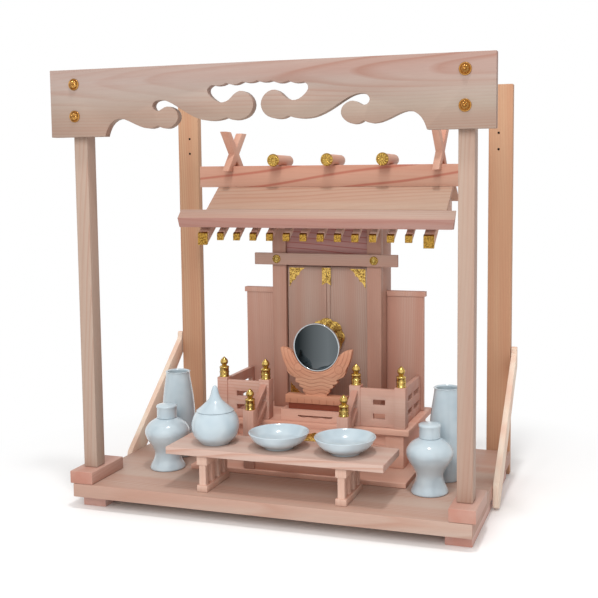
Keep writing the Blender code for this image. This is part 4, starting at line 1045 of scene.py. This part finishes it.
@dataclass
class RoofFittings:
    """Caps on the rafter tips and discs on the ends of the roof logs."""

    pitch: float = 25.1 * MM
    count: int = 12
    rafter: Point = (9.4 * MM, 9.0 * MM)
    gable: Point = (14.0 * MM, 16.0 * MM)
    slope: float = 0.776
    lip: float = 0.35 * MM
    disc_lip: float = 1.0 * MM
    cap_length: float = 2.6 * MM
    cap_edge: float = 0.25 * MM

    def cap(self, size: Point, middle: float, tip: float, top: float) -> Shape:
        """Make a pressed cap over one rafter tip, sheared to the rafter's slope.

        Args:
            size: The rafter's width and depth.
            middle: The rafter's middle along X.
            tip: Where it ends along Y.
            top: The height of its upper edge there.

        Returns:
            The cap's mesh.
        """
        length = self.cap_length + self.lip
        width, height = size[0] + 2 * self.lip, size[1] + 2 * self.lip
        cap = block((width, length, height), (0, length / 2, 0), self.cap_edge)
        shear = Matrix(((1, 0, 0, 0), (0, 1, 0, 0), (0, self.slope, 1, 0), (0, 0, 0, 1)))
        return placed(cap, (middle, tip - self.lip, top - size[1] / 2), shear)

    def build(self) -> None:
        """Make the caps and the discs."""
        low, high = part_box("rafter_frame")
        top = low.z + self.gable[1]
        first = (low.x + high.x) / 2 - (self.count - 1) / 2 * self.pitch
        rafters = [first + index * self.pitch for index in range(self.count)]
        gables = [low.x + self.gable[0] / 2, high.x - self.gable[0] / 2]
        gilt = GiltMetal(gold="dcae52").build("rafter_cap", Chasing.DOTS)
        for word, size, middles in (("rafter", self.rafter, rafters), ("gable", self.gable, gables)):
            caps = [self.cap(size, middle, low.y, top) for middle in middles]
            add_piece(word + "_caps", gathered(caps), gilt)
        disc_gilt = GiltMetal(gold="ecc468", roughness=0.16).build("log_disc", Chasing.PLAIN)
        for word in ("left", "middle", "right"):
            low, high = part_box("roof_log_" + word)
            radius = (high.x - low.x) / 2
            spot = ((low.x + high.x) / 2, low.y, high.z - radius)
            add_piece(f"log_disc_{word}", placed(disc(radius + self.disc_lip), spot), disc_gilt)


@dataclass
class DoorFittings:
    """Gilt plates on the two door leaves and bosses on the lintel beam. The plates ride on the leaves."""

    top_corner: Point = (22.0 * MM, 26.0 * MM)
    bottom_corner: Point = (16.0 * MM, 15.0 * MM)
    corner_inset: float = 2.6 * MM
    corner_lobes: int = 3
    corner_lobe_depth: float = 0.10
    corner_bow: float = 1.08
    corner_steps: int = 12
    plate_thickness: float = 0.45 * MM
    plate_rim: float = 1.1 * MM
    stud_place: Point = (11.0 * MM, 4.0 * MM)
    stud_radius: float = 1.9 * MM
    strip_stand: float = 3.0 * MM
    medallion_radius: float = 26.0 * MM
    medallion_rise: float = 89.0 * MM
    lobes: int = 8
    lobe_span: Point = (0.35, 0.95)
    lobe_spread: float = 0.09
    lobe_rise: float = 0.8 * MM
    tail_length: float = 25.0 * MM
    tail_half: float = 6.6 * MM
    tail_drop: float = 1.6 * MM
    tail_notch: float = 0.86
    tail_rim: float = 0.9 * MM
    boss_radius: float = 6.2 * MM
    boss_spread: float = 73.5 * MM

    def corner(self, side: int, flip: int) -> Shape:
        """Make a corner plate: its right angle lies in the leaf's outer corner, its long side is lobed.

        Args:
            side: -1 on the left leaf, 1 on the right one.
            flip: 1 at the top, -1 at the bottom.

        Returns:
            The plate's mesh.
        """
        width, height = self.top_corner if flip > 0 else self.bottom_corner
        outline = [(0.0, 0.0)]
        for index in range(self.corner_steps + 1):
            share = index / self.corner_steps
            lobe = 1.0 - self.corner_lobe_depth * abs(math.sin(self.corner_lobes * math.pi * share))
            reach = math.cos(share * math.pi / 2), math.sin(share * math.pi / 2)
            squeeze = lobe / (reach[0] + reach[1]) * self.corner_bow
            outline.append((width * reach[0] * squeeze, -height * reach[1] * squeeze))
        outline = [(-side * across, up * flip) for across, up in outline]
        return plate(outline, self.plate_thickness, self.plate_rim)

    def stud(self, side: int) -> Shape:
        """Make the small round boss on a top corner.

        Args:
            side: -1 for the left leaf, 1 for the right one.

        Returns:
            The boss's mesh.
        """
        made = spun(section(self.stud_radius, [(0, 1.33), (0.6, 0.95), (1, 0), (0, 0)]), 12)
        return placed(made, (-side * self.stud_place[0], -self.plate_thickness / 2, -self.stud_place[1]),
                      TO_FRONT)

    def medallion(self) -> Shape:
        """Make the round lock plate, which both leaves share: eight lobes about a domed boss.

        Returns:
            The plate's mesh.
        """
        made = spun(section(self.medallion_radius, [
            (0, 3.4), (0.14, 3.1), (0.24, 2.0), (0.3, 1.2), (0.42, 1.9), (0.6, 2.2), (0.78, 1.8), (0.92, 1.3),
            (1, 0.7), (1, 0), (0, 0)]), 96)
        for vertex in made.verts:
            reach = vertex.co.xy.length / self.medallion_radius
            if reach > self.lobe_span[0]:
                petal = abs(math.cos(self.lobes / 2 * math.atan2(vertex.co.y, vertex.co.x))) - 0.5
                vertex.co.xy *= 1 + self.lobe_spread * petal * reach
                if reach < self.lobe_span[1]:
                    vertex.co.z += self.lobe_rise * petal
        return placed(made, (0, 0, 0), TO_FRONT)

    def half(self, builder: Shape, side: int, gap: float) -> Shape:
        """Keep the side of a mesh that belongs to one leaf, with its cut closed.

        Args:
            builder: The mesh, with the leaves' meeting at x = 0.
            side: -1 for the left leaf, 1 for the right one.
            gap: How far the leaf's edge is from the meeting.

        Returns:
            The same mesh.
        """
        cut = bmesh.ops.bisect_plane(builder, geom=builder.verts[:] + builder.edges[:] + builder.faces[:],
                                     plane_co=(side * gap, 0, 0), plane_no=(-side, 0, 0), clear_outer=True)
        edges = [part for part in cut["geom_cut"] if isinstance(part, bmesh.types.BMEdge)]
        bmesh.ops.contextual_create(builder, geom=edges)
        return builder

    def build(self) -> None:
        """Make the plates of both leaves and the bosses."""
        scrolls = GiltMetal().build("door_plate", Chasing.SCROLLS)
        low_left, high_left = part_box("door_left")
        low_right, high_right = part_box("door_right")
        meeting = (high_left.x + low_right.x) / 2
        gap = (low_right.x - high_left.x) / 2
        strip_front = low_left.y
        leaf_front = strip_front + self.strip_stand
        tail = [(-self.tail_half, 0.0), (self.tail_half, 0.0), (self.tail_half, -self.tail_length),
                (0.0, -self.tail_length * self.tail_notch), (-self.tail_half, -self.tail_length)]
        for side, word in SIDES:
            edge = low_left.x if side < 0 else high_right.x
            corner_x = edge - side * self.corner_inset
            upper = (corner_x, leaf_front, high_left.z - self.corner_inset)
            lower = (corner_x, leaf_front, low_left.z + self.corner_inset)
            strip = self.half(plate(tail, self.plate_thickness, self.tail_rim), side, gap)
            rose = self.half(self.medallion(), side, gap)
            plates = [placed(self.corner(side, 1), upper), placed(self.stud(side), upper),
                      placed(self.corner(side, -1), lower),
                      placed(strip, (meeting, strip_front, high_left.z - self.tail_drop)),
                      placed(rose, (meeting, strip_front, low_left.z + self.medallion_rise))]
            add_piece(f"door_plates_{word}", gathered(plates), scrolls, f"{word}_leaf")
        low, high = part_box("lintel_beam")
        middle, height = (low.x + high.x) / 2, (low.z + high.z) / 2
        bosses = [placed(disc(self.boss_radius), (middle + side * self.boss_spread, low.y, height))
                  for side, _ in SIDES]
        # The second colour is the painted shade in the hollows of the dots.
        gilt = GiltMetal("f6dd8c", "8a6a2a").build("lintel_boss", Chasing.DOTS)
        add_piece("lintel_bosses", gathered(bosses), gilt)


@dataclass
class RailFittings:
    """The gilt onion caps on the six newels and the plate on the top riser."""

    sleeve_radius: float = 6.7 * MM
    plate_half: float = 21.0 * MM
    plate_height: float = 13.0 * MM
    plate_thickness: float = 0.8 * MM
    plate_rim: float = 1.0 * MM
    plate_drop: float = 1.0 * MM
    top_riser: float = 32.0 * MM

    def cap(self) -> Shape:
        """Make an onion cap: a sleeve with raised bands, a waist, and a pointed bulb.

        Returns:
            The cap's mesh.
        """
        bulb = [(0, 1), (0.6, 0.985), (1.6, 0.95), (3.8, 0.88), (5.3, 0.79), (5.5, 0.71), (4.6, 0.64),
                (3.4, 0.595), (3.2, 0.57), (4.4, 0.545)]
        sleeve = [(0.9, 0.52), (1, 0.49), (1.03, 0.46), (0.95, 0.43), (0.95, 0.27), (1.02, 0.25),
                  (1.02, 0.21), (0.95, 0.19), (0.95, 0.07), (1.03, 0.05), (1.03, 0), (0, 0)]
        profile = [(across * MM, up * CAP_HEIGHT) for across, up in bulb]
        profile += [(share * self.sleeve_radius, up * CAP_HEIGHT) for share, up in sleeve]
        return spun(profile, 36)

    def riser_plate(self) -> Shape:
        """Make the plate on the top riser, with three low peaks.

        Returns:
            The plate's mesh.
        """
        peaks = [(-1, 0), (1, 0), (1, 0.7), (0.8, 1), (0.35, 0.8), (0, 1), (-0.35, 0.8), (-0.8, 1), (-1, 0.7)]
        return plate([(across * self.plate_half, up * self.plate_height) for across, up in peaks],
                     self.plate_thickness, self.plate_rim)

    def build(self) -> None:
        """Put a cap on each newel, and the plate on the top riser."""
        gilt = GiltMetal(gold="f0cd78").build("onion_cap", Chasing.PLAIN)
        low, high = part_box("stair")
        spot = ((low.x + high.x) / 2, low.y + self.top_riser, high.z - self.plate_height - self.plate_drop)
        scrolls = GiltMetal().build("stair_plate", Chasing.SCROLLS)
        add_piece("stair_plate", placed(self.riser_plate(), spot), scrolls)
        for side, word in SIDES:
            for rail, count in (("railing", 2), ("stair_rail", 1)):
                low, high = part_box(f"{rail}_{word}")
                outer, inner = (low.x, high.x) if side < 0 else (high.x, low.x)
                middles = (outer - side * NEWEL / 2, inner + side * NEWEL / 2)[:count]
                caps = [placed(self.cap(), (middle, low.y + NEWEL / 2, high.z - CAP_HEIGHT))
                        for middle in middles]
                add_piece(f"onion_caps_{rail}_{word}", gathered(caps), gilt)


# White ware


@dataclass
class AltarWare:
    """The porcelain, turned finer than in the CAD: dishes, water vessel, bottles and vases, sizes in mm."""

    steps: int = 96

    def vessel(self, profile: Sequence[Point], nodes: Sequence[str], glaze: Material) -> None:
        """Turn a vessel in place of each of its CAD nodes.

        Args:
            profile: Radius and height in mm.
            nodes: The CAD nodes, which give the middle and the foot.
            glaze: The finish.
        """
        for node in nodes:
            low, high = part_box(node)
            spot = ((low.x + high.x) / 2, (low.y + high.y) / 2, low.z)
            made = spun([(across * MM, up * MM) for across, up in profile], self.steps)
            add_piece(f"{node}_glazed", placed(made, spot), glaze, "cabinet", [node])

    def build(self) -> None:
        """Make every vessel."""
        glaze = GlazedPorcelain().build("porcelain")
        inside = smooth_run([(0, 4.4), (13.3, 5.0), (27.7, 10.1), (36.3, 20.2)], 8)
        outside = smooth_run([(38.5, 20.1), (33.1, 10.9), (25.4, 5.0), (19.6, 2.4)], 8)
        foot = [(19.0, 0.3), (18.7, 0), (17.2, 0), (16.4, 1.2), (0, 1.2)]
        self.vessel(inside + [(37.2, 20.95), (38.1, 20.8)] + outside + foot, pair("dish"), glaze)
        body = smooth_run([(23.4, 41.7), (28.3, 34.3), (30.4, 23.0), (27.7, 10.9), (20.1, 2.2)], 8)
        self.vessel([(0, 41.7), (22.8, 41.8), *body, (19.0, 0.4), (18.4, 0), (0, 0)], ["water_vessel"], glaze)
        lid = smooth_run([(0, 32.9), (2.4, 31.4), (4.2, 27.1), (5.6, 21.1), (9, 14.2), (15.2, 8.2),
                          (20.8, 3.3), (24.0, 0.8)], 8)
        self.vessel([*lid, (23.5, 0), (0, 0)], ["water_lid"], glaze)
        bottle = smooth_run([(12.6, 70), (14.8, 69), (24.5, 62.5), (29.8, 53), (27.6, 42.5), (20.6, 31),
                             (17.4, 23), (18.6, 14), (22.6, 5.5), (24.0, 2.0)], 6)
        self.vessel([(0, 70), *bottle, (23.6, 0.5), (22.8, 0), (0, 0)], pair("bottle"), glaze)
        cap = [(0, 19.3), (3.2, 19.25), (5, 18.9), (10.5, 18.3), (12.9, 17.5), (14.0, 16.4), (14.2, 15.4),
               (13.9, 14.2), (13.4, 12.8), (13.4, 2.4), (13.7, 0.5), (13.3, 0), (0, 0)]
        self.vessel(cap, pair("bottle_lid"), glaze)
        outer = smooth_run([(17.5, 122.3), (16.7, 117.5), (21.6, 83.6), (24.0, 45.5), (21.1, 17.2),
                            (17.5, 1.2)], 8)
        inner = smooth_run([(0, 6), (12.3, 8), (21.4, 45.5), (19.0, 83.6), (14.1, 117.5), (15.0, 122.2)], 8)
        self.vessel(inner + [(15.8, 122.9), (16.9, 122.9)] + outer + [(16.9, 0.2), (16.2, 0), (0, 0)],
                    pair("vase"), glaze)


# Mirror


@dataclass
class MirrorDressing:
    """The round mirror in its chrome rim, and the slotted block under its stand."""

    rim: float = 2.2 * MM
    steps: int = 96
    step_board: Board = Board(Grain.ACROSS, Tone.BLUSH, 3.0, 0.3)
    step_seed: int = 97
    slot_half: float = 25.0 * MM
    slot_top: float = 8.4 * MM
    slot_depth: float = 6.0 * MM

    def step(self) -> None:
        """Make the block with its wavy slot, in place of the plain one."""
        low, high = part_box("mirror_step")
        half = (high.x - low.x) / 2
        tall = high.z - low.z
        wave = [(share * self.slot_half, self.slot_top - drop * MM) for share, drop in (
            (1.0, 1.6), (0.86, 3.0), (0.66, 3.3), (0.44, 2.2), (0.22, 2.6), (0.0, 3.4))]
        lower = [(-half, 0.0), (half, 0.0), (half, self.slot_top), (self.slot_half, self.slot_top), *wave,
                 *[(-across, up) for across, up in wave[-2::-1]], (-self.slot_half, self.slot_top),
                 (-half, self.slot_top)]
        upper = [(-half, self.slot_top), (half, self.slot_top), (half, tall), (-half, tall)]
        middle = (low.x + high.x) / 2
        parts = [placed(plate(outline, self.slot_depth), (middle, low.y + self.slot_depth, low.z))
                 for outline in (lower, upper)]
        rest = (high.x - low.x, high.y - low.y - self.slot_depth, tall)
        parts.append(block(rest, (middle, high.y - rest[1] / 2, (low.z + high.z) / 2)))
        finish = PlanedCypress(self.step_board).build("mirror_step", self.step_seed)
        add_piece("mirror_step_slotted", gathered(parts), finish, "cabinet", ["mirror_step"])

    def build(self) -> None:
        """Make the block, the rim and the glass."""
        self.step()
        low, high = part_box("mirror")
        centre = [(start + end) / 2 for start, end in zip(low, high)]
        radius, half = (high.x - low.x) / 2, (high.y - low.y) / 2
        inner = radius - self.rim
        ring = smooth_run([(inner, half - 1.2 * MM), (inner + 0.5 * MM, half - 0.2 * MM),
                           (radius - 0.7 * MM, half), (radius, half - 0.9 * MM), (radius, 0.9 * MM - half),
                           (radius - 0.8 * MM, -half)], 4)
        rim = spun([(0.0, half - 1.6 * MM), (inner, half - 1.6 * MM), *ring, (0.0, -half)], self.steps)
        add_piece("mirror_rim", placed(rim, centre, TO_FRONT), CHROME.build("mirror_rim"),
                  stands_for=["mirror"])
        glass = spun([(0.0, half - 0.9 * MM), (inner - 1.6 * MM, half - 0.95 * MM), (inner, half - 1.3 * MM),
                      (inner, half - 1.7 * MM), (0.0, half - 1.7 * MM)], self.steps)
        silver = MirrorGlass().build("mirror_glass", centre[0], radius)
        add_piece("mirror_glass", placed(glass, centre, TO_FRONT), silver, "cabinet")


# Studio


@dataclass(frozen=True)
class Lamp:
    """A soft square lamp: its place, size and watts, and whether gloss mirrors it."""

    name: str
    place: tuple
    size: float
    watts: float
    in_gloss: bool

    def build(self, aim: Sequence[float]) -> None:
        """Add the lamp.

        Args:
            aim: The spot that it points at.
        """
        light = bpy.data.lights.new(self.name, "AREA")
        light.size = self.size
        light.energy = self.watts
        lamp = bpy.data.objects.new(self.name, light)
        lamp.location = self.place
        lamp.rotation_euler = (Vector(aim) - Vector(self.place)).to_track_quat("-Z", "Y").to_euler()
        lamp.visible_glossy = self.in_gloss
        bpy.context.scene.collection.objects.link(lamp)


@dataclass
class Studio:
    """A plain white floor and backdrop, soft light and the camera."""

    eye: tuple = (0.44704, -1.18169, 0.42317)
    turn_degrees: tuple = (84.870, 0.257, 17.080)
    focal_px: float = 930.2
    centre_px: Point = (361.4, 267.1)
    image_px: float = 598.0
    sensor_mm: float = 36.0
    clip: Point = (0.05, 50.0)
    aim: tuple = (0.0, 0.0, 0.2)
    lamps: tuple = (Lamp("ceiling_lamp", (0.27, -0.62, 2.2), 0.2, 15.0, True),
                    Lamp("front_softbox", (0.25, -1.75, 1.35), 1.1, 24.0, False))
    ambient: Colour = (1.0, 0.985, 0.97, 1.0)
    ambient_level: float = 0.58
    floor_radius: float = 6.0
    floor_steps: int = 96
    floor_roughness: float = 0.9
    floor_colour: Colour = (0.97, 0.97, 0.97, 1.0)
    floor_fade: Point = (0.30, 0.56)

    def camera(self) -> None:
        """Set the camera at the photograph's angle."""
        lens = bpy.data.cameras.new("photo_camera")
        lens.sensor_width = self.sensor_mm
        lens.lens = self.focal_px / self.image_px * self.sensor_mm
        lens.shift_x = (self.image_px / 2 - self.centre_px[0]) / self.image_px
        lens.shift_y = (self.centre_px[1] - self.image_px / 2) / self.image_px
        lens.clip_start, lens.clip_end = self.clip
        camera = bpy.data.objects.new("photo_camera", lens)
        turn = Euler([math.radians(angle) for angle in self.turn_degrees])
        camera.matrix_world = Matrix.LocRotScale(Vector(self.eye), turn, None)
        bpy.context.scene.collection.objects.link(camera)
        bpy.context.scene.camera = camera

    def seen(self, tree: Tree, *kinds: str) -> Socket:
        """Tell the rays that see the backdrop from those that light the object.

        Args:
            tree: The tree that asks.
            kinds: Kinds of ray that see it.

        Returns:
            1 for a ray of these kinds.
        """
        path = add_node(tree, "LightPath")
        share = path.outputs["Is Camera Ray"]
        for kind in kinds:
            share = add_math(tree, "MAXIMUM", share, path.outputs[f"Is {kind} Ray"])
        return share

    def world(self) -> None:
        """White for the camera and for reflections, and an even dimmer white for the light on the object."""
        world = bpy.data.worlds.new("studio_white")
        bpy.context.scene.world = world
        world.use_nodes = True
        tree = world.node_tree
        tree.nodes.clear()
        ambient = add_node(tree, "Background", {"Color": self.ambient, "Strength": self.ambient_level})
        white = add_node(tree, "Background", {"Color": WHITE, "Strength": 1.0})
        seen = self.seen(tree, "Glossy", "Transmission")
        both = add_node(tree, "MixShader", {0: seen, 1: ambient.outputs[0], 2: white.outputs[0]})
        add_node(tree, "OutputWorld", {"Surface": both.outputs[0]})

    def floor(self) -> None:
        """A pale round floor that fades to the white backdrop away from the object."""
        builder = bmesh.new()
        bmesh.ops.create_circle(builder, cap_ends=True, segments=self.floor_steps, radius=self.floor_radius)
        mesh = bpy.data.meshes.new("studio_floor")
        builder.to_mesh(mesh)
        builder.free()
        material, tree, shader = new_material("studio_floor")
        fill(tree, shader, {"Base Color": self.floor_colour, "Roughness": self.floor_roughness})
        fade = add_ramp(tree, add_measure(tree, "LENGTH", object_coords(tree)),
                        [(self.floor_fade[0], 0.0), (self.floor_fade[1], 1.0)])
        share = add_math(tree, "MULTIPLY", fade, self.seen(tree, "Glossy"))
        glow = add_node(tree, "Emission", {"Color": WHITE, "Strength": 1.0})
        both = add_node(tree, "MixShader", {0: share, 1: shader.outputs[0], 2: glow.outputs[0]})
        fill(tree, tree.nodes["Material Output"], {"Surface": both.outputs[0]})
        mesh.materials.append(material)
        floor = bpy.data.objects.new("studio_floor", mesh)
        bpy.context.scene.collection.objects.link(floor)

    def build(self) -> None:
        """Set up the whole studio."""
        bpy.context.scene.view_settings.view_transform = "Standard"
        self.camera()
        self.floor()
        self.world()
        for lamp in self.lamps:
            lamp.build(self.aim)


def main() -> None:
    """Dress the part and set the studio."""
    logging.basicConfig(level=logging.INFO, format="%(name)s %(message)s")
    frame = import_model()
    Joinery().build(frame)
    for group in (ShelfFittings(), RoofFittings(), DoorFittings(), RailFittings(), AltarWare(),
                  MirrorDressing(), Studio()):
        group.build()


if __name__ == "__main__":
    main()
